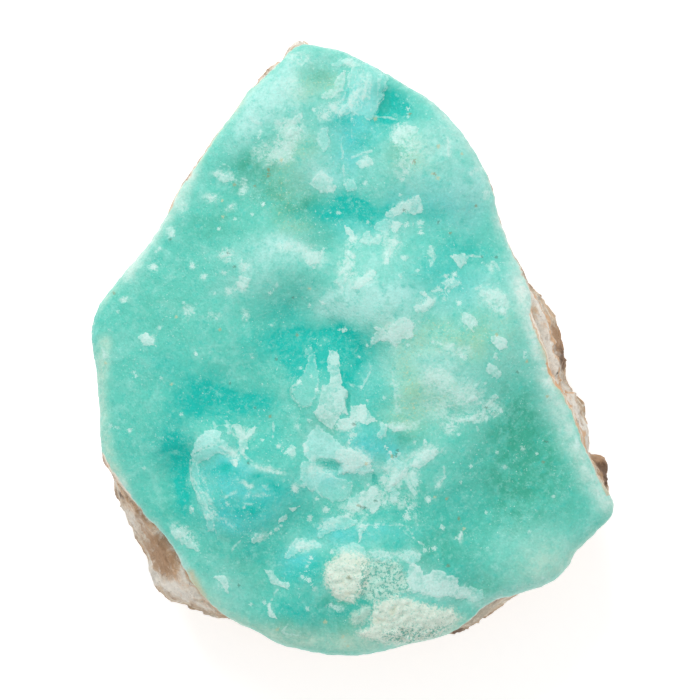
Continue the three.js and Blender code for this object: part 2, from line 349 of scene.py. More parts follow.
VEINS = streaks(
    (1, 0.22, 26.6, 6, 27.6, 3.6, 28.4, 2, 28.9, 0.6),
    (1, 0.22, 29, -2.2, 29.8, -4, 30.7, -5.5, 32, -7, 32.6, -8.6),
    (0.6, 0.3, 33.4, -10.8, 34.6, -14, 36, -17, 37.2, -19.4, 38, -21.6),
    (0.7, 0.3, -36.9, -17.8, -36, -19.4, -35, -20.6),
    (0.6, 0.25, -22.9, 28.5, -20, 33, -17, 37.2),
    (0.5, 0.25, -27.5, 20.5, -26.2, 23.7),
)

PLATES = flakes(
    (0.34, -5.2, -19.4, -4.6, -18.8, -2.5, -19, -1, -19.3, 0.2, -20.3, -0.1, -21.5, -1, -22.6, -2.9,
     -22.7, -4.6, -22.1, -5.5, -21.1, -5.6, -20.2),
    (0.35, -3.1, 42.7, -0.8, 43.6, 0.2, 43.6, -0.4, 42.4, -2.5, 42.1),
    (0.42, -0.1, 43.3, 2.3, 42.8, 5.5, 40.6, 4.9, 39.8, 5.2, 39.1, 4.4, 38.5, 4.7, 37.6, 3.8, 36.8, 4,
     35.9, 3.2, 34.7, 2.3, 34, -0.1, 35.3, -1.9, 34.4, -2.2, 35.2, -0.4, 37.4, -0.8, 40.3, -0.4, 41.5),
    (0.5, -4.7, 32.9, -3.7, 33.2, -3.4, 30.8, -4.1, 29.2, -5, 30.4, -5.2, 31.6),
    (0.4, -1.4, 24.4, -0.8, 25.3, 0.2, 25.3, 0.7, 24.4, 0.2, 23.5, -0.8, 23.5),
    (0.4, 3.5, 18.8, 5, 19.4, 5.9, 19, 5.3, 17.2, 4.1, 17.2, 3.4, 17.8),
    (0.24, -5.9, 0.8, -4.7, -5, -5.2, -6.7, -6.5, -8.9, -8, -8.5, -9.1, -6.4, -7.6, -4.3, -6.5, -1.1,
     -7.1, -0.5),
    (0.4, 4.1, -11, 5.3, -11.3, 5, -12.7, 4.4, -13.4, 3.8, -12.8),
    (0.45, -5.3, -11.3, -4.4, -11.9, -4.3, -13.1, -4.9, -13.9, -6.7, -13.7),
    (0.75, -7.3, -13.9, -6.1, -12.2, -4.4, -12.1, -2.9, -13.1, -1.1, -14.9, 0.5, -14.9, 1.9, -15.7,
     3.2, -18.2, 2, -18.5, -0.7, -18.5, -2.3, -18.8, -1.6, -17.5, -2.6, -16.4, -5.2, -16.3, -6.4,
     -16.7, -7.3, -15.5),
    (0.6, -7.6, -17, -6.1, -16.3, -4.6, -17.9, -2.5, -18.8, -2.8, -19.4, -6.4, -21.1, -7.7, -19.4),
    (0.4, -0.8, -23.2, -0.4, -22.3, 1.1, -21.4, 1.4, -23.2, 0.8, -24.2),
    (0.35, 4.3, -17.3, 5.9, -16, 7.3, -17.3, 6.7, -18.5, 5.5, -19),
    (0.5, -5.2, -27.5, -4.4, -25.9, -3.2, -25.1, -1, -24.7, 0.8, -25.6, -0.8, -26.8, -3.4, -27.1, -5,
     -28.4),
    (0.45, 5.6, -16.7, 6.7, -16.3, 8.3, -17.3, 7.4, -18.2, 6.2, -20.3, 6.8, -21.5, 6.5, -22.9, 5.8,
     -23, 5.3, -21.2),
    (0.45, 8.5, -17.8, 9.4, -18.5, 9.8, -19.7, 9.5, -21.1, 8.5, -19.7),
    (0.8, -21.5, -11.8, -19.1, -12.5, -20, -13.7, -23.9, -16, -23.9, -15.1, -23, -13.3),
    (0.5, -23.9, -16, -22, -14.8, -19, -13.3, -17.2, -15.7, -19.6, -15.5, -23, -17, -23.8, -17),
    (0.35, -19, -10.6, -17.8, -11.3, -17.6, -12.4, -18.5, -12.7),
    (0.3, -24.2, -17.2, -23, -16.7, -22.7, -19.7, -21.7, -22.7, -20.3, -25.7, -20.5, -27.1, -21.4,
     -27.2, -22.3, -24.2, -23.6, -20.9),
    (0.5, -10.3, -31.1, -9.5, -29.5, -8.2, -28.3, -6.7, -28.3, -5, -28.7, -4.6, -29.5, -6.4, -29.6,
     -8.2, -30.1, -9.4, -31.3),
    (0.5, 7.6, -30.2, 8.3, -29.6, 10.1, -30.5, 10.1, -31.4, 9.1, -31.9, 8, -31.7),
    (0.35, -1.9, -29.6, -0.1, -28.7, 1.9, -29.3, 2, -30.7, -1.6, -30.7),
    (0.4, 2.5, -30.2, 4.4, -29.6, 5.9, -31.1, 4.7, -31.9, 3.2, -31.4),
    (0.42, 15.4, -35.2, 16.6, -35.2, 19.1, -35.9, 19.9, -37.1, 18.2, -37.7, 16.4, -37.1, 15.5, -36.2),
)
FLAKES = flakes(
    (0.6, -1.7, 41.5, -1.1, 41.6, -1, 39.8, -1.6, 38.5, -3.1, 37.4, -4.9, 37.4, -4.6, 38, -2.9, 38.8,
     -2.2, 40.6),
    (0.6, -1.9, 35.5, -0.4, 37.1, -0.2, 36.7, -1.7, 34.6),
    (0.8, 6.4, 32.6, 7, 34, 7.4, 31.9, 6.5, 30.4, 5.9, 30.8),
    (0.55, 7.1, 33.1, 8.6, 33.4, 9.8, 32.9, 10, 32.6, 8.9, 31.9, 8.3, 32.5),
    (0.5, 0.7, 27.7, 2.8, 28.7, 3.2, 27.5, 1.1, 26.9),
    (0.55, -9.4, 34.1, -7.3, 35.5, -7.4, 34.4, -7.9, 33.7, -9.1, 33.5),
    (0.5, -9.8, 32.3, -9.1, 32.8, -7.7, 32.9, -8, 32.3, -8.9, 31.7, -9.7, 31.4),
    (0.6, -1.3, 26.6, -0.1, 25.6, -1, 25.9),
    (0.75, 4.9, 20.2, 7.3, 21.7, 8.3, 21.8, 8.3, 22.4, 9.8, 22.6, 10.7, 21.2, 10.1, 20.2, 8.9, 19.9, 8,
     20.8, 6.5, 19.7, 5, 19.6),
    (0.85, 5.9, 19, 7.4, 18.5, 6.8, 17.3, 5.9, 17.5),
    (0.75, -1.6, 18.5, -0.5, 18.1, 0.7, 16.7, 0.4, 15.8, -0.5, 15.8, -0.8, 17),
    (0.55, 5.8, 16.3, 6.4, 16.4, 7.1, 15.2, 6.1, 15.8),
    (0.85, 5, 14.5, 5.5, 14.8, 5.9, 14.2, 5.2, 12.4, 4.6, 12.7),
    (0.5, 7.3, 13.7, 8, 13.9, 8.5, 13.4, 7.6, 13),
    (0.7, 14.6, 13.9, 15.5, 14.2, 17.8, 13.9, 16.1, 11.9, 15.1, 13),
    (0.65, 13.4, 11.3, 14.5, 11, 13.9, 10.3), (0.6, 13.3, 10, 14.2, 10.4, 16.3, 10, 15.8, 9.2, 13.7, 8.8),
    (0.55, -1.1, 14, -0.4, 14.6, 0.7, 13.7, -0.8, 13.6),
    (0.7, -0.2, 13.1, 0.1, 12.4, -1.3, 9.8, -1.6, 8, -2, 9.2, -2.9, 10.1, -1.7, 11.3, -1.1, 12.4),
    (0.8, -0.1, 9.2, 0.7, 10.4, 2.2, 11, 2.6, 11.8, 3.7, 11.3, 3.2, 10.4, 2.2, 9.8, 1.4, 8.9, 0.5, 8.5),
    (0.4, 6.8, 10.9, 8.2, 11.8, 7.1, 10.6),
    (0.45, 1.1, 15.8, 1.6, 17.2, 2.5, 17.5, 2.9, 16.3, 4, 17.3, 4.4, 16.3, 3.8, 15.5, 2, 15.4),
    (0.7, 10, 8.3, 10.6, 8.5, 12.1, 7.1, 11.5, 5.8, 9.7, 5.3, 8.6, 6.1, 10.9, 6.8, 10.9, 7.4),
    (0.8, 16.1, 5.3, 16.7, 5.6, 18.4, 4.4, 18.7, 3.5, 18.1, 3.1, 18.2, 2.2, 16.4, 3.7),
    (0.55, 18.8, 8.5, 20.5, 8.8, 22.1, 7.9, 23, 8.2, 22.7, 6.7, 22.6, 5, 22, 5.3, 21.8, 7),
    (0.85, 20.6, 1.7, 21.2, 2, 22.9, 1.3, 22.9, 0.1, 21.8, -0.2, 20.5, 0.8),
    (0.65, 20.9, -0.8, 21.4, -0.5, 21.8, -1.7, 20.9, -1.6),
    (0.62, 19.6, -3.1, 20, -2.3, 21.4, -2.5, 22.1, -3.8, 21.8, -4.7, 20.6, -4),
    (0.5, 20.5, -7.7, 21.2, -6.4, 21.7, -7.3, 20.6, -8),
    (0.6, 20.5, -10.1, 21.1, -9.1, 21.5, -9.2, 20.6, -10.3),
    (0.6, 16.9, -8, 17.9, -6.7, 18.8, -7.4, 17.6, -8),
    (0.7, 13.7, -11.3, 15.1, -11, 14.9, -11.6, 14, -11.8),
    (0.5, 15.8, -10.6, 17.6, -10, 18.7, -10.1, 17.5, -10.9),
    (0.75, -5.3, 26, -4.7, 26.6, -3.2, 25.6, -2.3, 24.1, -2.9, 23.3, -4.7, 23.2, -6.4, 24.4),
    (0.5, -6.5, 14.2, -5.6, 14.5, -4.9, 13.9, -4.7, 12.7, -6.2, 12.4, -7, 13),
    (0.5, -16.6, 12.4, -16.1, 12.8, -15.7, 12.1, -16.1, 11.6),
    (0.5, -16.9, 10.4, -16, 10.7, -15.2, 10.3, -15.5, 9.2, -16.4, 8.8, -17.2, 9.1),
    (0.5, -20.5, 26.5, -18.4, 25.9, -17.6, 25, -19.1, 24.5, -20.8, 25.7),
    (0.65, -21.7, 22.4, -20.3, 22.6, -21.4, 22.1),
    (0.75, -19.7, 13.7, -18.7, 14.5, -18.2, 14.2, -19.3, 13.4),
    (0.9, -31.1, 2.3, -30.2, 2.3, -29.9, 1.3, -29.2, 0.5, -30.8, 0.5, -31.9, 1.6),
    (0.8, -3.5, -0.1, -2.2, -0.4, -1.7, -4.7, -1.4, -5.9, -0.5, -6.4, -1, -8.2, -0.4, -10.3, -1.7,
     -9.4, -2.5, -11.3, -3.1, -12.2, -5.2, -10.3, -5.6, -9.4, -4.4, -5.5, -3.4, -5.3, -3.8, -1.7),
    (0.85, -0.4, -10.3, -0.1, -8.3, 1.7, -8.3, 3.7, -10.9, 1.7, -11.2),
    (0.75, -2.5, -11.3, -1.9, -10.4, -0.1, -10.4, 0.5, -11.3, -0.7, -12.4, -2.2, -11.8),
    (0.75, 4.4, -10.9, 7.9, -11.8, 6.1, -12.4),
    (0.85, 2.3, 0.5, 2.8, 1.6, 3.7, 2.5, 3.1, 3.1, 4.3, 3.2, 5, 2.3, 5.9, 3.4, 7, 4.4, 8.3, 4.6, 9.1,
     3.5, 8.9, 1.7, 7.9, 1.4, 7, 1.7, 7.1, 0.7, 6.2, 0.5, 5.3, 1.3, 4, 1.1, 2.9, 0.4),
    (0.6, 5.8, 1.1, 6.7, 1.4, 7, 0.7, 5.9, 0.7), (0.75, -1.6, 2.8, -0.4, 2.9, -1.4, 2.3),
    (0.55, -6.7, -10.4, -5.5, -11, -6.5, -11),
    (0.8, -2.3, -15.1, -0.4, -14.5, 0.8, -15.7, 2.5, -17, -1.4, -18.8, -1.6, -17.3, -0.7, -17.3, -2.6,
     -16.6),
    (0.65, 1.7, -16.9, 2.5, -16.7, 3.2, -18.2, 2, -17.5),
    (0.85, -7.3, -13.9, -6.5, -14.3, -6.5, -15.2, -7.3, -15.5),
    (0.7, -6.2, -17.2, -5.8, -17.6, -6.1, -18.5),
    (0.55, -9.4, -14.3, -8, -14.5, -9.1, -15.2, -9.2, -16.1, -9.5, -15.1),
    (0.45, -8.9, -20, -8, -20.9, -8.5, -21.7), (0.75, -9.5, -23.6, -7.6, -23.3, -8.6, -24.4),
    (0.75, -10.9, -25.1, -9.8, -24.5, -9.7, -25.4, -11, -25.9),
    (0.5, -4.7, -23.8, -3.4, -23.5, -3.2, -24.1),
    (0.8, 1.1, -21.4, 3.2, -20.3, 4.1, -22, 4.1, -23.5, 2.9, -24.7, 2.6, -23.8, 1, -23.2),
    (0.5, 4.1, -19.1, 6.1, -18.8, 7.7, -17.9, 8.5, -16.7, 8, -18.8, 6.4, -20.3, 5, -20.6),
    (0.75, -1.3, -25, -1, -24.4, -0.4, -24.4, -0.4, -25), (0.65, 7.7, -25, 8.2, -24.2, 8.6, -25.4),
    (0.65, 8.5, -17.5, 9.5, -16.3, 11.2, -14.9, 12.4, -14.8, 12.5, -16, 10.9, -17.2, 9.7, -17.8),
    (0.6, 10.3, -14.5, 10.7, -13.3, 11.2, -14.2), (0.6, 11, -22.1, 11.8, -22.3, 11.2, -23.2),
    (0.95, 13, -26.5, 13.1, -25.9, 13.9, -26.5, 13.7, -26.9),
    (0.65, 15.7, -27.4, 16.3, -27.2, 16.6, -27.8, 15.8, -28.3),
    (0.95, -18.2, -16.3, -17.5, -16.1, -17, -16.9, -17.3, -17.5, -18.1, -16.9),
    (0.75, -18.1, -11.3, -16.7, -11, -16.4, -12.2, -15.7, -12.8, -14.9, -11.6, -14.3, -11.6, -14.5,
     -12.4, -15.5, -13.3, -15.4, -14.8, -16.3, -15.4, -15.8, -16.3, -16.9, -14.9, -16.6, -13.7),
    (0.5, -17, -15.1, -16.3, -15.5, -15.7, -16.3), (0.7, -14.2, -17.2, -13.6, -17.3, -13.1, -17.8),
    (0.5, -22, -24.8, -21.4, -24.4, -20.8, -25.4, -21.7, -25.6),
    (0.9, -24.2, -23.5, -23.8, -23.2, -23.5, -23.8, -24.2, -24.5),
    (0.5, -27.1, -27.2, -26.2, -26.6, -24.4, -28.1, -22.6, -30.1, -24.4, -29.9, -25.9, -28.7),
    (0.65, -20.9, -34.1, -19.1, -33.7, -18.5, -34.7, -18.4, -36.7, -19.6, -34.7),
    (0.55, -15.2, -28.9, -14.3, -27.4, -12.7, -27.7, -14.5, -28.9),
    (0.6, -11.6, -26.9, -10.9, -26.6, -11.5, -27.4),
    (0.9, -8.3, -28.9, -7.4, -28.4, -6.5, -29.2, -8, -30.1),
    (0.75, -13.1, -32.8, -11.9, -33.1, -10.7, -34.4, -9.2, -34.7, -9.7, -35.8, -12.1, -34.9),
    (0.8, -12.2, -37.6, -11.9, -39.1, -11.2, -40.1, -12.5, -39.7, -12.8, -39.1),
    (0.7, 1.1, -25.9, 2.2, -26.2, 1.3, -28.1, 1.1, -29.6, 0.8, -27.2),
    (0.75, 8.8, -28.1, 9.4, -28.1, 9.8, -28.6),
    (0.85, 8.2, -32, 9.8, -32.2, 10.7, -33.5, 12.5, -32.6, 15.5, -34.1, 16.1, -35.9, 14.9, -36.8, 12.1,
     -36.8, 10.1, -36.2, 8.2, -35.9),
    (0.9, 8.2, -32, 8.9, -31.7, 9.8, -32.2, 9.5, -33.1, 8.3, -33.1),
    (0.8, 14, -35.9, 14.9, -35.3, 18.1, -37.1, 15.4, -37.1),
)
STREAKS = streaks(
    (0.6, 0.14, 0.8, 41.5, -0.5, 36.1), (0.55, 0.12, 1.6, 41.8, 0.7, 36.1),
    (0.65, 0.14, 2.3, 41.2, 1.7, 38.5, 1.3, 35.8), (0.5, 0.12, 4.4, 41.5, 3.7, 37.9),
    (0.5, 0.12, -1, 38.5, -1.6, 36.1, -2.5, 33.7), (0.7, 0.18, 2, 40, 1.7, 37.4),
    (0.65, 0.24, 1, 38.8, 0.4, 37.6), (0.5, 0.14, -0.1, 41, -0.7, 39.1),
    (0.6, 0.12, 5.2, 38.9, 4.6, 38.3, 4.7, 37.4, 4, 36.7, 4, 35.8, 3.4, 34.6),
    (0.5, 0.12, 3.5, 34.6, 5.9, 34.4, 6.7, 34), (0.5, 0.18, -0.1, 28.6, 1.1, 28.9, 2.9, 29.6),
    (0.45, 0.24, -15.4, 34.4, -14.6, 33.8, -13.6, 33.5), (0.6, 0.15, -11.6, 30.7, -10.9, 30.4),
    (0.5, 0.18, 11.8, 14.8, 12.4, 13.6, 11.6, 12.2), (0.45, 0.15, 17.8, 13.7, 19.1, 13.6),
    (0.45, 0.21, 20.6, 13, 21.2, 12.7, 21.8, 11.6), (0.5, 0.15, 14.9, -0.2, 15.1, -1.1),
    (0.5, 0.21, 19.1, -8, 19.6, -9.2, 19.3, -10.3), (0.6, 0.15, 18.4, -11.5, 18.7, -12.2),
    (0.45, 0.15, 19.1, -4.6, 18.2, -5.5, 18.1, -6.1), (0.6, 0.15, -16.4, 25.3, -15.8, 25),
    (0.45, 0.15, -19.9, 27.1, -19.1, 27.5, -18.2, 26.9), (0.5, 0.15, -37.3, -0.1, -36.8, -1.4),
    (0.55, 0.15, -20.6, 4.7, -20.2, 4.4), (0.75, 0.14, -5, 7.1, -4.1, 6.7),
    (0.5, 0.15, -12.1, 3.5, -11.6, 3.2), (0.55, 0.15, -14.8, -0.5, -15.1, -1, -14.8, -1.4),
    (0.5, 0.18, -8, -5, -9.1, -5.9, -9.2, -6.8, -8, -8.3),
    (0.5, 0.14, -0.4, -5.5, 1.6, -5.5, 2.8, -3.2, 2.6, -2.3), (0.4, 0.15, 5.8, -3.4, 6.2, -5.5, 6.7, -10),
    (0.6, 0.14, -7.6, -20.3, -5.8, -21.2), (0.5, 0.15, 13.6, -17.6, 13.7, -19, 12.2, -21.1),
    (0.45, 0.15, -20.5, -10.9, -20.3, -11.9), (0.5, 0.15, -11.8, -10.9, -11.8, -13),
    (0.5, 0.15, -11.2, -14.6, -10.3, -14), (0.5, 0.15, -13.3, -20.3, -12.5, -20.9),
    (0.45, 0.15, -16, -22.9, -14.5, -23),
    (0.8, 0.12, -24.2, -16.7, -24.2, -18.2, -23.8, -20.2, -22, -23.2, -21.2, -24.2),
    (0.55, 0.1, -23.8, -19.1, -22.7, -20.8, -21.4, -23.9), (0.5, 0.1, -21.1, -24.7, -19.9, -28.4),
    (0.5, 0.12, -23.5, -15.5, -22.1, -14.6, -20.6, -14.2, -19.3, -14.6, -17.9, -15.5, -17.2, -16.9),
    (0.45, 0.12, -20.5, -11.6, -19, -11.3, -17.8, -12.4, -16.4, -14.6, -15.7, -16.1),
    (0.4, 0.1, -15.7, -16.1, -13.6, -17.3, -10.1, -17.8),
    (0.7, 0.1, -23, -21.2, -22.4, -22.7, -21.5, -23.9), (0.4, 0.15, -16.7, -28.4, -17.9, -29.9),
    (0.5, 0.15, -11.2, -35.9, -12.1, -37.4), (0.55, 0.15, -10.4, -42.1, -9.7, -41),
    (0.6, 0.12, -10.3, -42.2, -7.9, -42.7), (0.4, 0.15, 6.4, -26, 7.9, -26.3, 8.9, -27.4),
    (0.45, 0.12, -0.4, -26, 6.4, -26.2, 9.7, -28.6, 12.1, -29.6), (0.6, 0.15, 14.9, -34.1, 15.7, -34),
    (0.55, 0.18, 14.2, 31.6, 14.3, 28.9), (0.75, 0.33, 33.4, -13.7, 33.7, -14.6),
    (0.8, 0.33, 5, -20.9, 6.7, -19.7, 7.4, -18.4, 8.6, -17.3, 10.4, -16.7, 12.1, -15.2),
    (0.6, 0.27, 7.4, -18.4, 9.2, -21.5), (0.6, 0.24, 4.7, -18.2, 5.6, -16.7, 7.1, -15.5),
    (0.5, 0.12, -1.7, 31.3, -1.1, 23.8), (0.4, 0.1, -0.1, 37.3, -0.2, 33.1, 0.1, 29.8),
    (0.5, 0.14, 2.8, 40.6, 2.5, 37.9, 2.9, 35.5), (0.45, 0.12, 3.8, 40.9, 3.7, 38.5),
)
DOTS = dots(
    (0.75, -4, -23.9, 0.45), (0.9, -6.4, -25, 0.24), (0.8, -5.2, -22.3, 0.21), (0.8, -0.5, -13.9, 0.21),
    (0.9, 4.8, -14.5, 0.18), (1, 5.6, -15.3, 0.22), (0.7, -0.1, -12.8, 0.39), (0.7, 2.3, -20.2, 0.2),
    (0.7, 11.2, -22.3, 0.39), (0.75, 8.5, -23.6, 0.33), (0.75, 8, -25, 0.45), (0.7, 4.7, -22.9, 0.33),
    (0.5, 6.2, -22.4, 0.6), (0.55, -8.9, -15.5, 0.39), (0.5, -8.6, -20.8, 0.45), (0.5, -8.2, -11.5, 0.39),
    (0.6, 0.7, -23.3, 0.24), (0.5, 1.4, -18.4, 0.33), (0.6, -1.3, -20.6, 0.22), (0.5, -6.2, -17.8, 0.36),
    (0.7, -2, 20.2, 0.2), (0.65, 2.3, 18.8, 0.24), (0.8, 8, 18.4, 0.28), (0.8, 10.1, 17.3, 0.3),
    (0.6, 3.8, 16.7, 0.24), (0.6, 6.4, 15.8, 0.33), (0.75, -0.7, 14.2, 0.36), (0.7, 0.1, 13.6, 0.24),
    (0.65, -1.1, 13, 0.2), (0.6, 7.4, 13.6, 0.24), (0.7, -4.6, 14.2, 0.3), (0.6, -4.3, 14.8, 0.21),
    (0.65, 11.6, 15.2, 0.22), (0.7, 12.8, 8.9, 0.24), (0.65, 12.2, 8.5, 0.21), (0.85, 15.7, 6.8, 0.28),
    (0.6, 14.3, 8.5, 0.22), (0.8, -1, 2.9, 0.27), (0.7, -1.9, 2.8, 0.2), (0.6, 13.1, 0.7, 0.24),
    (0.75, 16.1, -1.1, 0.27), (0.6, 11.9, 1, 0.27), (0.7, 21.1, 5.9, 0.27), (0.8, 22.1, 5.6, 0.28),
    (0.65, 8.2, 0.5, 0.24), (0.7, 6.4, 0.5, 0.27), (0.75, 2.2, 0.5, 0.21), (0.7, -4.4, 6.8, 0.24),
    (0.65, 9.5, 11.5, 0.2), (0.6, 18.4, 8.9, 0.22), (0.7, -18.8, -14.8, 0.24), (0.65, -13.4, -13.6, 0.21),
    (0.6, -11, -14.5, 0.27), (0.65, -10, -15.5, 0.22), (0.7, -9.4, -15.1, 0.26), (0.6, -16, -23.5, 0.22),
    (0.6, -18.5, -23, 0.27), (0.65, -6.2, -25, 0.24), (0.6, -10.6, -26.3, 0.2), (0.7, -12.1, -27.4, 0.24),
    (0.8, -5.8, 35.6, 0.27), (0.7, -2.8, 36.1, 0.36), (0.7, -3.2, 36.4, 0.36), (0.6, -4.1, 34.6, 0.51),
    (0.65, -0.5, 43, 0.48), (0.7, -9.8, 33.2, 0.27), (0.6, -11.3, 29.8, 0.24), (0.75, -13.7, 32.3, 0.24),
    (0.65, -14, 31.4, 0.21), (0.5, -10.1, 30.5, 0.45), (0.5, -11.2, 33.7, 0.42), (0.75, 1.9, 24.7, 0.33),
    (0.7, 8, 26.3, 0.33), (0.65, 7.4, 25.1, 0.3), (0.65, 7.1, 22.9, 0.24), (0.75, 8, 18.5, 0.33),
    (0.65, 10.1, 18.7, 0.45), (0.8, 10.3, 17.2, 0.27), (0.95, 15.2, 11, 0.33), (0.5, 13.6, 7.4, 0.36),
    (0.9, 15.8, 6.7, 0.33), (0.55, 19.1, 9.2, 0.24), (0.65, 9.7, 11.6, 0.24), (0.6, 12.7, 9.1, 0.21),
    (0.6, 13.3, 8.6, 0.21), (0.6, 11.8, 8.5, 0.18), (0.7, 16.7, -1.3, 0.33), (0.85, 27.1, 1, 0.3),
    (0.7, 25.6, -0.5, 0.24), (0.6, 25.6, -1.3, 0.21), (0.7, 14.8, 0.5, 0.24), (0.85, 22.1, -9.2, 0.27),
    (0.55, 19.9, -10.4, 0.24), (0.6, 15.8, -12.7, 0.24), (0.55, 19.7, -5.2, 0.24),
    (0.5, -9.7, 15.4, 0.45), (0.5, -8, 15.4, 0.36), (0.6, -5.8, 12.1, 0.24), (0.85, -13.3, 21.5, 0.27),
    (0.6, -14.9, 20, 0.24), (0.6, -2.2, 20.3, 0.24), (0.6, -17.5, 19.3, 0.21), (0.65, -16.4, 23.5, 0.36),
    (0.5, -18.2, 21.2, 0.24), (0.7, -19.9, 17.8, 0.24), (0.7, -28.7, 14.9, 0.24),
    (0.6, -29.3, 14.5, 0.21), (0.6, -19, 11.3, 0.21), (0.55, -26.9, 17, 0.36), (0.8, -29.6, 12.1, 0.36),
    (0.8, -23.8, 12.2, 0.3), (0.7, -22.1, 10.7, 0.3), (0.5, -34, 7.3, 0.36), (0.5, -35, 5.5, 0.24),
    (0.6, -28.7, 3.1, 0.24), (0.55, -25.1, 6.8, 0.21), (0.55, -24.7, 5.2, 0.21), (0.5, -23.6, 5.3, 0.21),
    (0.9, -23.3, -0.8, 0.24), (0.6, -32.5, -3.5, 0.21), (0.6, -32.2, -4.1, 0.21),
    (0.5, -28.4, -4.4, 0.21), (0.65, -18.4, 8.3, 0.27), (0.55, -20.5, 8.2, 0.21), (0.7, -12.2, 8.2, 0.24),
    (0.5, -11.2, 9.4, 0.3), (0.55, -15.7, 5, 0.3), (0.7, -6.4, 6.4, 0.24), (0.85, -7.9, -5, 0.33),
    (0.6, 0.5, -12.8, 0.24), (0.9, -5.3, -6.1, 0.24), (0.65, 1.4, -5.8, 0.24), (0.6, 1, -1.3, 0.21),
    (0.6, -7.7, -2.9, 0.21), (0.6, -6.1, -4.1, 0.21), (0.6, 2.2, -7.7, 0.21), (0.6, 4.7, -7.3, 0.21),
    (0.55, -5.8, -16.3, 0.45), (0.7, -6.4, -25.3, 0.3), (0.7, -5.3, -22.3, 0.24), (0.9, 5.6, -15.4, 0.27),
    (0.6, 3.5, -26.2, 0.33), (0.55, 4.7, -23, 0.24), (0.6, 9.2, -13.9, 0.24), (0.5, 9.2, -23.2, 0.39),
    (0.6, 15.4, -28.1, 0.21), (0.6, 21.5, -15.4, 0.24), (0.6, 16.1, -19.9, 0.21),
    (0.6, 19.9, -24.4, 0.21), (0.7, 17.6, -17.5, 0.24), (0.6, -25.4, -9.8, 0.24),
    (0.95, -6.5, -34.3, 0.3), (0.7, -7.4, -33.8, 0.27), (0.6, -6.7, -32.3, 0.24), (0.85, -6.1, -31, 0.27),
    (0.6, -13.1, -37.7, 0.27), (0.6, -15.1, -38, 0.24), (0.6, -6.7, -38.6, 0.3), (0.7, -3.2, -38, 0.33),
    (0.6, -2.2, -38.6, 0.33), (0.7, 10.7, -29.8, 0.3), (0.8, 12.1, -29.6, 0.3), (0.85, -33.2, -12.2, 0.3),
    (0.5, -36.1, -11.6, 0.3), (0.45, -35, -11.8, 0.24), (0.45, -31, -17.8, 0.24),
    (0.8, -3.1, -30.1, 0.27), (0.55, -5.6, -35.6, 0.33), (0.7, 19.9, 23.3, 0.27), (0.5, 17.6, 26, 0.24),
    (0.5, 18.5, 26.6, 0.27), (0.75, 8.9, 27.8, 0.27), (0.6, 7.3, 29, 0.24), (0.7, 8.3, 35.8, 0.27),
    (0.6, 8.3, 34.6, 0.21), (0.5, 22.6, -17.6, 0.3), (0.5, 25.4, -14.9, 0.3), (0.6, 27.4, -15.7, 0.21),
    (0.6, 29.9, -22, 0.24), (0.5, 26.3, -27.2, 0.24), (0.5, 28.3, -34.1, 0.24),
)
CHALK = flakes(
    (1, -2.5, -31.3, -1.3, -30.5, 0.4, -30.4, 2.2, -31.3, 2.3, -33.5, 1.6, -35.6, -0.1, -37.3, -2.5,
     -36.7, -4, -34.7, -3.7, -32.6),
    (1, 3.5, -38, 5.6, -36.8, 8.3, -37.1, 10.7, -38.2, 14.6, -38.8, 15.8, -40.1, 13.4, -42.1, 10.4,
     -43.4, 6.8, -43.7, 2.6, -43, 0.8, -42.2, 3.2, -40.7, 2.6, -40.1),
    (0.6, 0.2, -39.4, 2, -38.2, 2.8, -38.5, 2, -40.4, 1.1, -40.9, -0.1, -40),
)
POROUS = flakes(
    (0.75, 1.4, -31.7, 3.4, -31.1, 6.4, -31.7, 8, -34, 8.3, -35.6, 6.4, -36.7, 2, -37.1, 0.8, -36.2),
    (0.7, 4.1, -41.9, 7.1, -41, 11.6, -41.3, 14.3, -41, 13.1, -42.5, 8.6, -43.7, 4.7, -43.4),
)
# Pockets: darker turquoise, partly the stone's colour and partly painted shade in these recesses and in the
# shadow beside the flake at the top.
POCKETS_AND_SHADE = flakes(
    (0.7, 4.7, 38.5, 5.6, 38.6, 5.9, 36.7, 5.5, 35.2, 4, 34.7, 4.1, 36.1, 4.9, 37.3),
    (0.7, -4.7, -16.7, -2.9, -16.6, -1.9, -17.3, -2.2, -18.2, -4.6, -17.8),
    (0.7, 2.8, -18.4, 3.7, -18.8, 3.7, -20.5, 2.9, -20),
    (0.6, -0.8, -6.5, -0.2, -6.8, -0.4, -10.1, -0.8, -8.9),
)
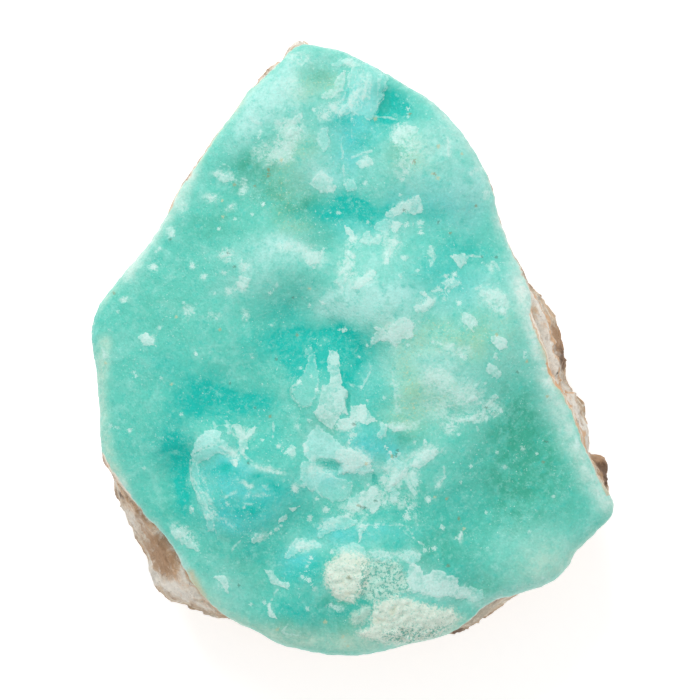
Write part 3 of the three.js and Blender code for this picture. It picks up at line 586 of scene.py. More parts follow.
SPECKS = dots(
    (1, 11.9, 26, 0.21), (0.5, 12.1, 26, 0.21), (1, 12.7, 25.3, 0.24), (0, 12.8, 18.8, 0.2),
    (0, 7.7, 20.6, 0.2), (0.5, 14.6, 17.2, 0.2), (0.8, 21.4, 2, 0.24), (0, 19.3, 13.7, 0.2),
    (0, 21.4, 13.6, 0.2), (0, 19.9, -8.8, 0.21), (0, 24.5, -3.5, 0.2), (0.5, -35.6, 8.3, 0.21),
    (1, -36.8, -2.2, 0.2), (1, -26.9, -5.3, 0.2), (1, -26.2, 4.7, 0.2), (0.5, -8.2, 2, 0.21),
    (0.8, -19.7, 2.8, 0.2), (1, -6.4, 8.9, 0.2), (0, -18.2, -5.2, 0.18), (0, -14.5, -8.8, 0.2),
    (0, -8.9, 7.6, 0.18), (0, -11.3, -1.6, 0.18), (0, 0.2, -11.2, 0.24), (1, 9.1, -8.8, 0.21),
    (1, 2, -17, 0.24), (0, 3.4, -22.6, 0.22), (0, 1.7, -23.6, 0.22), (0.5, 0.8, -23.3, 0.22),
    (0.8, 5.8, -16, 0.24), (0, 6.4, -16, 0.21), (0, 6.7, -15.1, 0.21), (0.7, 14, -22.3, 0.21),
    (0.5, 15.8, -25.3, 0.21), (1, 12.2, -22.1, 0.21), (1, 16.6, -26.8, 0.2), (0.5, -12.2, -10.1, 0.21),
    (0, -15.4, -16.9, 0.2), (0, -16.9, -35.2, 0.2), (1, -11.2, -41.8, 0.22), (1, -4.1, -40.6, 0.3),
    (1, -1.4, -42.8, 0.22), (1, -0.7, -44.3, 0.22), (0.5, -12.5, 26.6, 0.24), (0.5, -12.5, 25.7, 0.22),
    (0.5, -14.6, 24.2, 0.21), (0, -27.2, 16.3, 0.21), (0, -18.5, 14.2, 0.2), (0.7, -17.6, 24.4, 0.21),
    (1, -19.4, 22, 0.2), (1, -19.3, 19.6, 0.2), (0, -17.5, 12.2, 0.2), (0.9, 3.4, 34.3, 0.27),
    (0.8, 29, -7.1, 0.22), (0.8, 25.9, -1.9, 0.21), (0.5, 9.2, 27.8, 0.27), (0.9, 12.8, 30.1, 0.24),
    (0.9, 16.3, 29, 0.21), (0.5, 18.4, 21.2, 0.2), (0.5, 8.6, 35, 0.2), (0.3, 14.2, -32.2, 0.24),
    (1, -10.6, 28.1, 0.24), (0.3, 28.4, -16.9, 0.22), (0, 28.9, -13.9, 0.21), (1, 27.8, 3.1, 0.24),
    (0.5, -0.5, -33.8, 0.3),
)
# Deeper turquoise: partly the stone's own deeper colour, partly painted shade in hollows, beside the mounds
# and in the shadow beside the flake at the top.
DEEP_AND_SHADE = hazes(
    (-7.4, -0.5, 2.1, 2.1, 0.8), (-3.8, -0.2, 1.8, 2.1, 0.6), (-7.9, -3.5, 1.8, 2.1, 0.65),
    (-7.6, -33.8, 2.4, 1.5, 0.45), (4.6, 36.7, 1.3, 2.5, 1, 10), (6.5, 37, 2.4, 2.4, 0.85),
    (7.9, 35.5, 3.3, 2.7, 0.4), (-0.7, 34, 1.3, 1.3, 0.6), (-2.3, 33.1, 1.2, 0.9, 0.5),
    (4.9, 33.4, 2.1, 1.2, 0.5), (1.4, 30.5, 2.4, 1.3, 0.45), (-1.1, 21.5, 3.3, 1.8, 0.8),
    (2.3, 20, 2.4, 1.6, 1), (0.8, 22.3, 3, 1.5, 0.4), (-3.4, 0.4, 4.2, 1.5, 0.5),
    (6.4, 21.5, 2.4, 1.1, 0.6, 15), (-4.1, 20.2, 3.9, 1.3, 0.6), (-1.9, 23.5, 1.2, 1.2, 0.4),
    (11.9, 19.6, 3.9, 1.5, 0.4), (17, 14.8, 5.1, 1.8, 0.6, -8), (13.9, 10.3, 3, 2.4, 0.35),
    (-6.1, 1.3, 5.1, 2.4, 0.95), (-8.2, 1.6, 3.3, 2.2, 0.85), (-4.6, -2, 1.3, 2.4, 1),
    (-1.1, -2.5, 2.1, 2.7, 0.6), (-0.4, -0.5, 3, 3.6, 0.95), (-0.1, -5.5, 1.8, 3, 0.5),
    (3.5, -7.4, 1.2, 3.3, 0.5), (-10.1, 6.1, 3.9, 2.4, 0.45), (-12.7, -0.2, 4.5, 2.7, 0.45, 10),
    (-19.6, -8, 6, 2.4, 0.9), (-19.3, -7.7, 4.5, 1.6, 0.7), (-22.1, -5.5, 3.6, 2.2, 0.8),
    (-15.4, -8.5, 3.9, 2.1, 0.45), (-25.4, -17.5, 1.5, 5.4, 1), (-27.1, -13.7, 2.7, 4.2, 0.6),
    (-25.3, -22.7, 2.1, 3.6, 0.5), (-19.6, -17.9, 1.6, 0.9, 0.9), (-17.5, -18.8, 1.2, 0.6, 0.6),
    (-13.6, -19.6, 1.9, 0.9, 0.8), (-11.6, -20.9, 1.5, 1.1, 0.6), (-15.1, -23.2, 2.4, 1.1, 0.8),
    (-20.6, -9.2, 3.9, 2.4, 0.5), (-8.2, -2, 2.1, 1.8, 0.6), (-27.4, -2.5, 3.6, 2.1, 0.4),
    (-11.6, -13.7, 2.7, 2.4, 0.45), (-15.4, -14.5, 1.3, 1.3, 0.4), (-16.1, -24.5, 3.9, 1.6, 0.4),
    (-14.2, -29.5, 3.3, 2.1, 0.5), (-7.9, -25, 2.7, 2.7, 0.3), (-5.2, -32.6, 1.1, 2.7, 0.5, -30),
    (-10.3, -31.7, 0.6, 1.8, 0.35, 15), (-9.1, -38.5, 3.9, 2.1, 0.7), (-1.1, -38.9, 3.3, 1.3, 0.5, 10),
    (4.9, -24.2, 5.1, 1.3, 0.45), (6.8, -29.2, 1.8, 1.1, 0.5), (14.9, -33.5, 2.7, 2.7, 0.4),
    (15.4, -24.2, 5.1, 3.9, 0.3), (-9.4, -19.7, 2.4, 3, 0.4),
)
# Glassier blue zones: partly the stone's own colour, partly painted light over spots that the shape shades.
GLASS_AND_LIGHT = hazes(
    (15.4, 21.1, 5.4, 4.2, 0.35), (7.9, 22.3, 4.5, 2.4, 0.35), (-7.9, -31.3, 3, 2.1, 0.5),
    (2.6, 34, 4.5, 3, 0.4), (-7.4, -32.6, 1.9, 1.5, 0.35), (-18.7, -18.2, 3.9, 3, 0.8),
    (-11.6, -21.2, 3.3, 2.1, 0.4), (-16.1, -23.9, 4.8, 3, 0.75), (-18.1, -25.7, 3, 1.8, 0.4),
    (1.4, -13.7, 2.4, 3.3, 0.6), (4.9, -15.2, 2.1, 1.8, 0.6), (4.9, -27.5, 5.1, 1.3, 0.4),
    (-1.9, -27.5, 3.9, 1.6, 0.5), (-0.4, 31.3, 2.7, 5.1, 0.55), (0.4, 18.5, 4.5, 2.4, 0.4),
    (14.6, 10.3, 7.5, 4.5, 0.3), (1.9, 38, 2.1, 3, 0.4), (-3.4, -19, 3, 1.8, 0.4),
    (1.1, -4, 3.3, 4.5, 0.3),
)
# Paler zones: partly the stone's own paler colour, partly a painted highlight on the upper left shoulder and
# painted light over valleys that the shape shades.
PALE_AND_HIGHLIGHT = hazes(
    (-0.1, 7, 5.7, 3, 0.6), (15.4, 20, 5.1, 3.6, 0.25), (1.7, 5.5, 3.9, 2.1, 0.45),
    (-13.4, 37.3, 4.5, 3, 1, 50), (-3.4, 35.8, 9, 3.9, 0.25), (-10.1, 41, 2.4, 2.1, 0.6, 50),
    (-16.9, 32, 4.5, 1.8, 0.5, 55), (-10.1, 15.1, 5.1, 2.1, 0.8), (-6.4, 13, 2.4, 1.8, 0.5),
    (4.9, 7.6, 5.1, 3.6, 0.85), (3.4, 14, 5.1, 2.7, 0.4), (-1.1, 6.5, 3.9, 2.1, 0.7),
    (13.1, 30.1, 5.1, 4.8, 0.7), (17.6, 23.8, 3, 4.5, 0.35, -60), (8.6, 25.3, 3.6, 3.6, 0.4),
    (-5.6, 41.5, 3.9, 3, 0.5), (-7.9, 36.1, 2.1, 3, 0.4), (-4.1, 25.3, 3.3, 2.4, 0.4),
    (-1.1, 27.5, 7.5, 3.9, 0.25), (6.4, 18.5, 3, 2.1, 0.4), (21.4, 8.8, 3.9, 3.9, 0.45),
    (23.6, 0.5, 2.7, 6.6, 0.5), (16.9, 22.3, 3.6, 3.3, 0.5), (1.9, 6.1, 3.9, 2.4, 0.5),
    (28.9, -7.7, 2.1, 4.5, 0.3, -20), (15.4, 7.3, 3.6, 3, 0.3), (11.6, -0.2, 7.5, 3.9, 0.55),
    (-13.6, 13, 3.9, 3.6, 0.4), (-7.9, 27.5, 6.6, 3.9, 0.35), (13.1, -4.7, 5.1, 3.9, 0.45),
    (6.4, -4.7, 2.1, 5.1, 0.4), (17.6, -7, 3.9, 3.3, 0.3), (-3.4, -8.5, 2.4, 2.7, 0.3),
    (-14.6, -18.2, 5.1, 1.8, 0.4, -10), (-3.4, -14.5, 5.1, 2.1, 0.32, -20), (-0.4, -17.5, 4.5, 2.1, 0.35),
    (-5.6, -19.7, 3, 1.8, 0.3), (8.6, -16.7, 4.5, 2.7, 0.3, 20), (-7.3, -29.5, 2.2, 1.1, 0.45, 10),
    (11.3, -8.5, 2.7, 3.6, 0.45), (11.6, -34.7, 5.1, 3, 0.5), (28.9, -32, 5.1, 3.6, 0.35, 20),
    (26.6, -27.2, 6, 3, 0.25), (-16.9, 9.5, 4.5, 3, 0.3), (16.1, -37.7, 3, 1.8, 0.4),
    (-19.1, -36.2, 3.9, 3.9, 0.3),
)
# Greener zones: partly the stone's own greener colour, partly painted shade towards the lower rim.
GREEN_AND_SHADE = hazes(
    (-26.2, -23, 2.1, 2.7, 0.45), (2.6, -37.7, 2.4, 1.2, 0.5), (25.9, -13, 4.5, 8.4, 0.85, 20),
    (25.1, -24.2, 7.5, 5.1, 0.38), (22.1, -19.7, 5.1, 5.1, 0.5), (24.1, 1.3, 1.8, 6, 0.25),
    (31.1, -18.2, 4.5, 5.1, 0.25), (-12.7, 24.5, 5.1, 3.9, 0.6), (-6.7, 21.1, 3.6, 2.1, 0.6),
    (-16.1, 27.5, 2.7, 2.1, 0.45), (-20.6, 18.5, 5.1, 2.4, 0.45), (-4.1, 17, 3, 1.8, 0.45),
    (-5.2, 41, 2.1, 1.5, 0.5), (13.9, -30.2, 5.1, 5.1, 0.6), (19.1, -36.2, 5.1, 2.4, 0.5, 30),
    (6.4, 29, 1.8, 2.7, 0.35), (-3.4, -11.5, 2.1, 1.5, 0.4), (7.1, -14, 2.4, 1.1, 0.6, 30),
    (-10.9, -42.2, 5.1, 1.8, 0.35, -15), (-2.6, -41, 6.6, 2.7, 0.45), (-3.4, -31.7, 6.6, 2.7, 0.2),
    (-1.9, -37.7, 3, 1.3, 0.65), (-15.4, -31.7, 6, 6, 0.25), (7.9, -22.7, 6, 3.3, 0.3),
    (20.6, -13.7, 3.6, 3, 0.2), (16.9, 21.5, 2.4, 2.4, 0.3), (-28.9, 7.3, 6, 3.9, 0.2),
)
OCHRE = hazes(
    (-10.7, 25.6, 2.7, 3.9, 0.5), (-9.4, 21.5, 2.4, 2.4, 0.4), (-9.1, 17.8, 2.4, 1.5, 0.4),
    (-7.9, 29.8, 2.1, 2.1, 0.35), (-3.7, 39.7, 2.1, 2.1, 0.5, 40), (-7.1, 39.1, 2.1, 2.1, 0.3),
    (10.9, 2, 7.5, 2.4, 0.4), (7.9, -4, 2.4, 4.5, 0.4), (10.9, -7.7, 5.1, 3.9, 0.45),
    (17.6, 0.5, 3.9, 2.4, 0.4), (8.6, 28.3, 3, 3, 0.4), (6.4, -10.7, 2.4, 1.8, 0.4),
    (-0.4, -42.8, 2.1, 2.7, 0.4), (20.6, 4.3, 3.6, 3.6, 0.25),
)
CLOUDS = hazes(
    (-9.4, 32.3, 2.2, 1.9, 0.85), (-10.3, 29, 1.8, 1.3, 0.8), (-13.6, 29, 2.4, 2.4, 0.35),
    (-19, 25.6, 2.1, 1.2, 0.45, -20), (-16.3, 23.8, 0.9, 1.2, 0.45), (-21.1, 22.4, 1.2, 0.8, 0.7),
    (-17.9, 21.1, 1.2, 0.8, 0.45), (-25.4, 20.8, 1.1, 1.8, 0.45), (-27.2, 17.2, 0.9, 1.1, 0.6),
    (-18.8, 13.9, 1.3, 1.1, 0.7), (-16.1, 12.4, 0.9, 1.2, 0.6), (-16.3, 9.5, 1.3, 1.3, 0.6),
    (-29.6, 12.1, 0.8, 0.6, 0.8), (-23.8, 12.4, 0.6, 0.9, 0.6), (-22.1, 10.7, 0.9, 0.8, 0.55),
    (-19, 11.3, 0.8, 0.6, 0.45), (-18.5, 8.2, 0.8, 0.9, 0.55), (-20.9, 4.9, 1.5, 0.8, 0.4),
    (-16, 5, 0.8, 1.2, 0.45), (-24.4, 5.3, 1.5, 1.3, 0.4), (-5.8, 13.6, 1.9, 1.8, 0.6),
    (-9.4, 15.2, 2.1, 1.1, 0.55), (-34, 7.3, 0.9, 0.6, 0.55), (-30.5, 1.4, 1.2, 0.9, 0.7, -30),
    (-36.8, -1, 0.4, 1.5, 0.45, 20), (-0.4, 14.8, 1.2, 3, 0.4, -10), (-1, 11.5, 1.8, 1.8, 0.4, 30),
    (4.1, 16.3, 3.6, 1.1, 0.35), (1.9, 10.3, 2.4, 1.3, 0.45, 20), (6.2, 15.4, 1.2, 1.2, 0.5),
    (5.2, 13.6, 0.9, 1.2, 0.6), (11.6, 14, 0.8, 1.9, 0.45), (20.9, 7.6, 2.4, 1.8, 0.6, -25),
    (22.4, 5.8, 0.8, 1.5, 0.5), (10.9, 6.8, 1.8, 1.3, 0.5, 20), (14.6, 10, 1.6, 1.3, 0.55),
    (20.9, 12.1, 1.2, 1.3, 0.35), (6.8, 2.8, 3.3, 1.8, 0.55, 15), (17.2, 4, 1.5, 1.5, 0.5, -40),
    (12.4, -4.1, 2.2, 1.8, 0.75), (15.4, -0.2, 3.9, 1.2, 0.4), (16.9, -6.5, 2.4, 1.8, 0.5),
    (20.3, -8.9, 2.1, 1.8, 0.5), (13.1, -8.5, 3.9, 2.4, 0.35), (7.1, -11.5, 2.7, 0.9, 0.6),
    (17.3, -10.4, 2.4, 0.6, 0.6, 5), (10.9, -15.5, 3, 1.3, 0.6, 15), (14.6, -11.9, 1.8, 1.1, 0.45),
    (6.4, -19, 2.1, 2.1, 0.55), (2.9, -22.3, 2.7, 2.1, 0.55, 20), (-0.4, -23.9, 2.4, 1.1, 0.5),
    (-1.3, -11.5, 2.4, 1.1, 0.6), (0.4, -16, 3.3, 1.8, 0.6, -20), (-4.9, -18.2, 2.7, 1.2, 0.45),
    (-8.3, -20.6, 0.8, 1.1, 0.45), (7.9, -22.7, 1.8, 1.3, 0.4, 20), (9.4, -19.4, 0.9, 1.8, 0.45),
    (-25.1, -27.7, 2.4, 1.2, 0.7, -40), (-19.1, -35.2, 1.3, 1.3, 0.5), (-13.6, -28, 1.5, 0.8, 0.45, 15),
    (4.1, -30.8, 3, 1.3, 0.5), (8.6, -30.5, 1.8, 1.1, 0.5), (-1.1, -29.9, 2.4, 1.1, 0.5),
    (-7.1, -29.2, 2.4, 1.1, 0.55), (11.9, -35.3, 3.3, 1.9, 0.6), (16.9, -36.5, 2.1, 1.1, 0.6, -10),
    (-3.7, -26.2, 2.1, 1.1, 0.5, 15), (-9.1, -15.2, 0.9, 1.2, 0.45), (-17.6, -15.5, 1.5, 1.3, 0.5),
    (-21.4, -13.4, 2.1, 1.6, 0.4, 30), (-16.1, -12.5, 1.6, 1.3, 0.5), (-13.6, -17.6, 2.4, 0.6, 0.4, -10),
    (-2.6, -38.5, 1.8, 0.8, 0.45), (-12.1, -38.8, 0.6, 1.5, 0.45), (1.4, -26.8, 0.8, 1.3, 0.5),
    (7.1, 32.2, 1.8, 1.5, 0.65, 30), (8.9, 29.8, 2.4, 2.4, 0.4), (-2.6, 36.1, 1.2, 2.1, 0.5, -20),
    (-4.6, 35, 0.9, 1.2, 0.5), (-0.4, 42.7, 1.5, 0.9, 0.5), (1.9, 39.1, 1.2, 3.3, 0.45, -10),
    (-0.1, 36.5, 0.8, 2.1, 0.45, -10), (1.9, 28, 1.2, 1.3, 0.5, 30), (-9.4, 38.8, 3.9, 2.4, 0.35),
    (-7.9, 43.3, 3, 1.3, 0.4, -10), (7.9, 21.1, 2.4, 1.2, 0.55, 20), (7.1, 26.5, 1.5, 1.8, 0.4),
    (14.3, 30.1, 0.6, 1.8, 0.5), (20, 23, 0.8, 1.8, 0.45, -15), (18.8, 26.5, 1.2, 1.2, 0.35),
    (-16.1, -19.9, 1.8, 0.4, 0.55, -25), (-13.4, -21.7, 2.1, 0.4, 0.5, 10),
    (-17.9, -21.5, 1.3, 0.4, 0.45, 30), (-15.4, -21.2, 1.5, 0.4, 0.4, 70),
    (-18.7, -25.7, 1.8, 0.6, 0.4, -30), (-11.6, -18.2, 1.8, 0.4, 0.5, -10),
    (-22.1, -19.7, 0.6, 2.4, 0.4, 15), (-20.8, -23.9, 0.6, 2.1, 0.4, 20), (0.7, -9.5, 1.5, 1.3, 0.5),
    (6.5, -6.5, 0.8, 3.3, 0.4, 8), (9.4, -25, 1.2, 1.2, 0.35, 40), (12.7, -20, 0.8, 1.8, 0.4, -30),
    (16.1, -27.7, 0.6, 1.2, 0.5), (33.4, -14.2, 0.6, 1.2, 0.6, 10),
)
SOFT_FIELDS = {"deep": DEEP_AND_SHADE, "glass": GLASS_AND_LIGHT, "pale": PALE_AND_HIGHLIGHT, "green": GREEN_AND_SHADE, "ochre": OCHRE}
EDGE_FIELDS = {"white": WHITE, "cream": CREAM, "cloud": CLOUDS, "banded": BANDED, "tan": TAN}
MARK_FIELDS = {
    "plate": PLATES, "flake": FLAKES, "streak": STREAKS, "chalk": CHALK, "porous": POROUS,
    "pocket": POCKETS_AND_SHADE, "vein": VEINS,
}

CRUST_SHIFTS = (  # where its outline is set out or in, and how far along x and y
    (Haze(-20.6, 31.6, 4, 1.8, 1, 57), (-0.35, 0.25)),
    (Haze(-8, 44.8, 2.6, 2.4), (-0.35, 0.15)),
    (Haze(25.4, 11.5, 5, 2, 1, -65), (0.3, 0.1)),
    (Haze(38.6, -23.6, 2, 2), (0.4, -0.1)),
)
ROCK_SHIFTS = (  # the same for the rock
    (Haze(29, 10, 4.2, 2.6, 1, -68), (-1.1, -0.4)),
    (Haze(-8.6, 45.4, 2.4, 2.2), (-0.4, 2.2)),
    (Haze(-12.8, 42, 2.4, 1.6, 1, 50), (-0.45, 0.45)),
    (Haze(-19.9, 33.2, 3, 1.6, 1, 55), (0.6, -0.4)),
    (Haze(-16.9, 36.9, 1.8, 1.6, 1, 55), (0.5, -0.3)),
    (Haze(-29.6, -35, 3.2, 2.4, 1, -50), (-0.5, -0.5)),
    (Haze(-22.7, -39.2, 2.4, 2), (0.2, 0.45)),
    (Haze(38.6, -19.7, 2, 2), (0.6, -0.3)),
    (Haze(37, -15.4, 1.8, 1.6), (-0.7, -0.5)),
    (Haze(31.8, -1.2, 2.4, 2, 1, 90), (0.35, 0)),
    (Haze(34.6, -9.8, 1.8, 1.8), (-0.45, 0.1)),
)
PATCHES = {  # of the rock's colours
    "brown": hazes(
        (-28.6, -31, 4.6, 2.2, 1.1, -57), (-33, -23.4, 3, 0.5, 0.7, -57), (-18.4, -40.5, 3, 0.8, 0.8, -20),
        (-12.7, 41.9, 1.8, 0.7, 0.8, 50), (38, -18.2, 2.6, 1.4, 1.5, -80), (31.2, -0.2, 3.9, 1, 1.3, -78),
    ) + streaks((0.7, 0.4, -24.4, -35.2, -23.4, -38)),
    "cream": hazes(
        (-33.6, -25.8, 3.2, 1.1, 0.7, -63), (-29.9, -33.5, 2.8, 0.8, 0.9, -60),
        (-25.9, -36.2, 2.8, 1.2, 1, -40), (-8.6, 46, 2.6, 1.6),
    ) + streaks(
        (1.2, 0.35, -25.4, -33.6, -24, -36, -22.9, -38.6),
        (1.1, 0.85, 27.4, 8.6, 28.6, 4, 30, -1, 31.6, -5.6, 33.8, -10.6, 35.8, -15),
    ),
    "rust": hazes((-36.2, -19.2, 1.4, 0.6, 0.6, -50), (28.8, 3.2, 3, 0.7, 0.3, 110)) + streaks(
        (1, 0.22, 28.4, 8.4, 29.4, 4.4, 29.9, 1, 30.9, -3, 32.6, -7),
        (0.9, 0.25, 32.8, -8.6, 34.4, -12, 36, -15.6, 37.4, -18),
    ),
    "grey": hazes((19.4, -39.8, 3.2, 1.4, 0.9, 40), (-21, -39.6, 1.4, 0.6, 0.7, -20)),
    "dark": hazes(
        (-34.6, -22.2, 0.9, 0.6, 0.8, -60), (31.7, -1.6, 2.4, 0.5, 0.8, -78),
        (15.9, -42.5, 1.6, 0.7, 0.8, 20), (23, -37.2, 1.9, 0.6, 0.8, 25),
        (37.7, -19.4, 1.3, 0.5, 0.9, -80), (38.4, -17.6, 1.5, 1.1, 0.75),
    ),
}


# Node trees


def tint(code: str) -> tuple[float, float, float, float]:
    """Turns a six-digit colour code into the linear colour that a shader takes.

    Args:
        code: red, green and blue as two hexadecimal digits each.

    Returns:
        Red, green, blue and 1.
    """
    parts = (int(code[i : i + 2], 16) / 255 for i in (0, 2, 4))
    red, green, blue = (p / 12.92 if p <= 0.04045 else ((p + 0.055) / 1.055) ** 2.4 for p in parts)
    return red, green, blue, 1.0


class Sum(Enum):
    """The sums and tests that the finishes work out."""

    ADD = "ADD"
    SUBTRACT = "SUBTRACT"
    MULTIPLY = "MULTIPLY"
    MULTIPLY_ADD = "MULTIPLY_ADD"
    DIVIDE = "DIVIDE"
    SQRT = "SQRT"
    ABSOLUTE = "ABSOLUTE"
    GREATER_THAN = "GREATER_THAN"


class Blend(Enum):
    """How one colour is laid over another."""

    MIX = "MIX"
    MULTIPLY = "MULTIPLY"


class NodeSheet:
    """A material's node tree, with a short call for each kind of node that the finishes use."""

    def __init__(self, name: str) -> None:
        """Starts a material.

        Args:
            name: the material's name.
        """
        self.material = bpy.data.materials.new(name)
        self.material.use_nodes = True
        self.tree = self.material.node_tree
        self.shader = self.tree.nodes["Principled BSDF"]
        self.place = self.tree.nodes.new("ShaderNodeTexCoord").outputs["Object"]

    def join(self, value: object, socket: Socket) -> None:
        """Feeds a socket.

        Args:
            value: a number, a colour or another socket.
            socket: the socket that it goes into.
        """
        if isinstance(value, bpy.types.NodeSocket):
            self.tree.links.new(value, socket)
        else:
            socket.default_value = value

    def add(self, kind: str, settings: dict[str, object], feeds: dict[object, object]) -> bpy.types.Node:
        """Adds a node.

        Args:
            kind: the node's type, without its leading ShaderNode.
            settings: its own options by name.
            feeds: what goes into its inputs, by name or number.

        Returns:
            The node.
        """
        node = self.tree.nodes.new("ShaderNode" + kind)
        for name, value in settings.items():
            setattr(node, name, value)
        for key, value in feeds.items():
            self.join(value, node.inputs[key])
        return node

    def sum_of(self, operation: Sum, *values: Value, clamp: bool = False) -> Socket:
        """Works out a sum.

        Args:
            operation: which sum.
            values: one to three numbers or sockets.
            clamp: whether the result stays between 0 and 1.

        Returns:
            The result's socket.
        """
        settings = {"operation": operation.value, "use_clamp": clamp}
        return self.add("Math", settings, dict(enumerate(values))).outputs[0]

    def scaled(self, value: Value, low: float, high: float) -> Socket:
        """Stretches a value from between 0 and 1 to between low and high."""
        return self.sum_of(Sum.MULTIPLY_ADD, value, high - low, low)

    def product(self, *values: Value) -> Socket:
        """Multiplies values.

        Args:
            values: numbers or sockets.

        Returns:
            The product's socket, kept between 0 and 1.
        """
        result = values[0]
        for value in values[1:]:
            result = self.sum_of(Sum.MULTIPLY, result, value, clamp=True)
        return result

    def rise(self, value: Value, low: float, high: float) -> Socket:
        """Rises smoothly from 0 to 1 with a value.

        Args:
            value: the value.
            low: where the rise starts.
            high: where it ends, which may also lie below low.

        Returns:
            The result's socket.
        """
        settings = {"interpolation_type": "SMOOTHSTEP"}
        feeds = {"Value": value, "From Min": low, "From Max": high}
        return self.add("MapRange", settings, feeds).outputs["Result"]

    def blend(self, below: object, above: object, share: Value, kind: Blend = Blend.MIX) -> Socket:
        """Lays one colour over another.

        Args:
            below: the colour underneath.
            above: the colour on top.
            share: how much of the upper one shows.
            kind: how it is laid over.

        Returns:
            The resulting colour's socket.
        """
        settings = {"data_type": "RGBA", "blend_type": kind.value, "clamp_factor": True}
        return self.add("Mix", settings, {"Factor": share, 6: below, 7: above}).outputs[2]

    def field(self, name: str, output: str = "Fac") -> Socket:
        """Reads one of the piece's own painted fields."""
        return self.add("Attribute", {"attribute_name": name}, {}).outputs[output]

    def grain(
        self, size: float, detail: float = 3.0, rough: float = 0.55, warp: float = 0.0, place: Socket = None
    ) -> Socket:
        """Makes noise.

        Args:
            size: size of its lumps in mm.
            detail: how many finer layers it has.
            rough: how strong those are.
            warp: how much its lumps are curled.
            place: where it is read, the piece's own place if left out.

        Returns:
            A value around 0.5.
        """
        feeds = {"Vector": place or self.place, "Scale": 1 / (size * MM), "Detail": detail}
        feeds |= {"Roughness": rough, "Distortion": warp}
        return self.add("TexNoise", {}, feeds).outputs["Fac"]

    def cells(self, size: float, output: str = "Distance") -> Socket:
        """Makes a pattern of cells.

        Args:
            size: size of a cell in mm.
            output: which of the node's outputs is taken.

        Returns:
            The output's socket.
        """
        feeds = {"Vector": self.place, "Scale": 1 / (size * MM)}
        return self.add("TexVoronoi", {}, feeds).outputs[output]

    def stretched(self, across: float, upright: float) -> Socket:
        """Gives the piece's own place, scaled across and upright, for streaky noise."""
        feeds = {"Vector": self.place, "Scale": (across, across, upright)}
        return self.add("Mapping", {}, feeds).outputs["Vector"]

    def ramp(self, value: Value, stops: Sequence[tuple[float, str]]) -> Socket:
        """Runs a value through a row of colours.

        Args:
            value: the value, from 0 to 1.
            stops: each stop's place and colour code.

        Returns:
            The colour's socket.
        """
        node = self.add("ValToRGB", {}, {"Fac": value})
        row = node.color_ramp.elements
        while len(row) < len(stops):
            row.new(1.0)
        for element, (place, code) in zip(row, stops):
            element.position = place
            element.color = tint(code)
        return node.outputs["Color"]

    def bump(self, height: Value, depth: float, before: Socket = None) -> Socket:
        """Adds fine relief.

        Args:
            height: the relief, around 0 to 1.
            depth: what 1 stands for, in mm.
            before: relief that is already there.

        Returns:
            The normal's socket.
        """
        feeds = {"Height": height, "Distance": depth * MM, "Strength": 1.0}
        if before is not None:
            feeds["Normal"] = before
        return self.add("Bump", {}, feeds).outputs["Normal"]


# Finishes


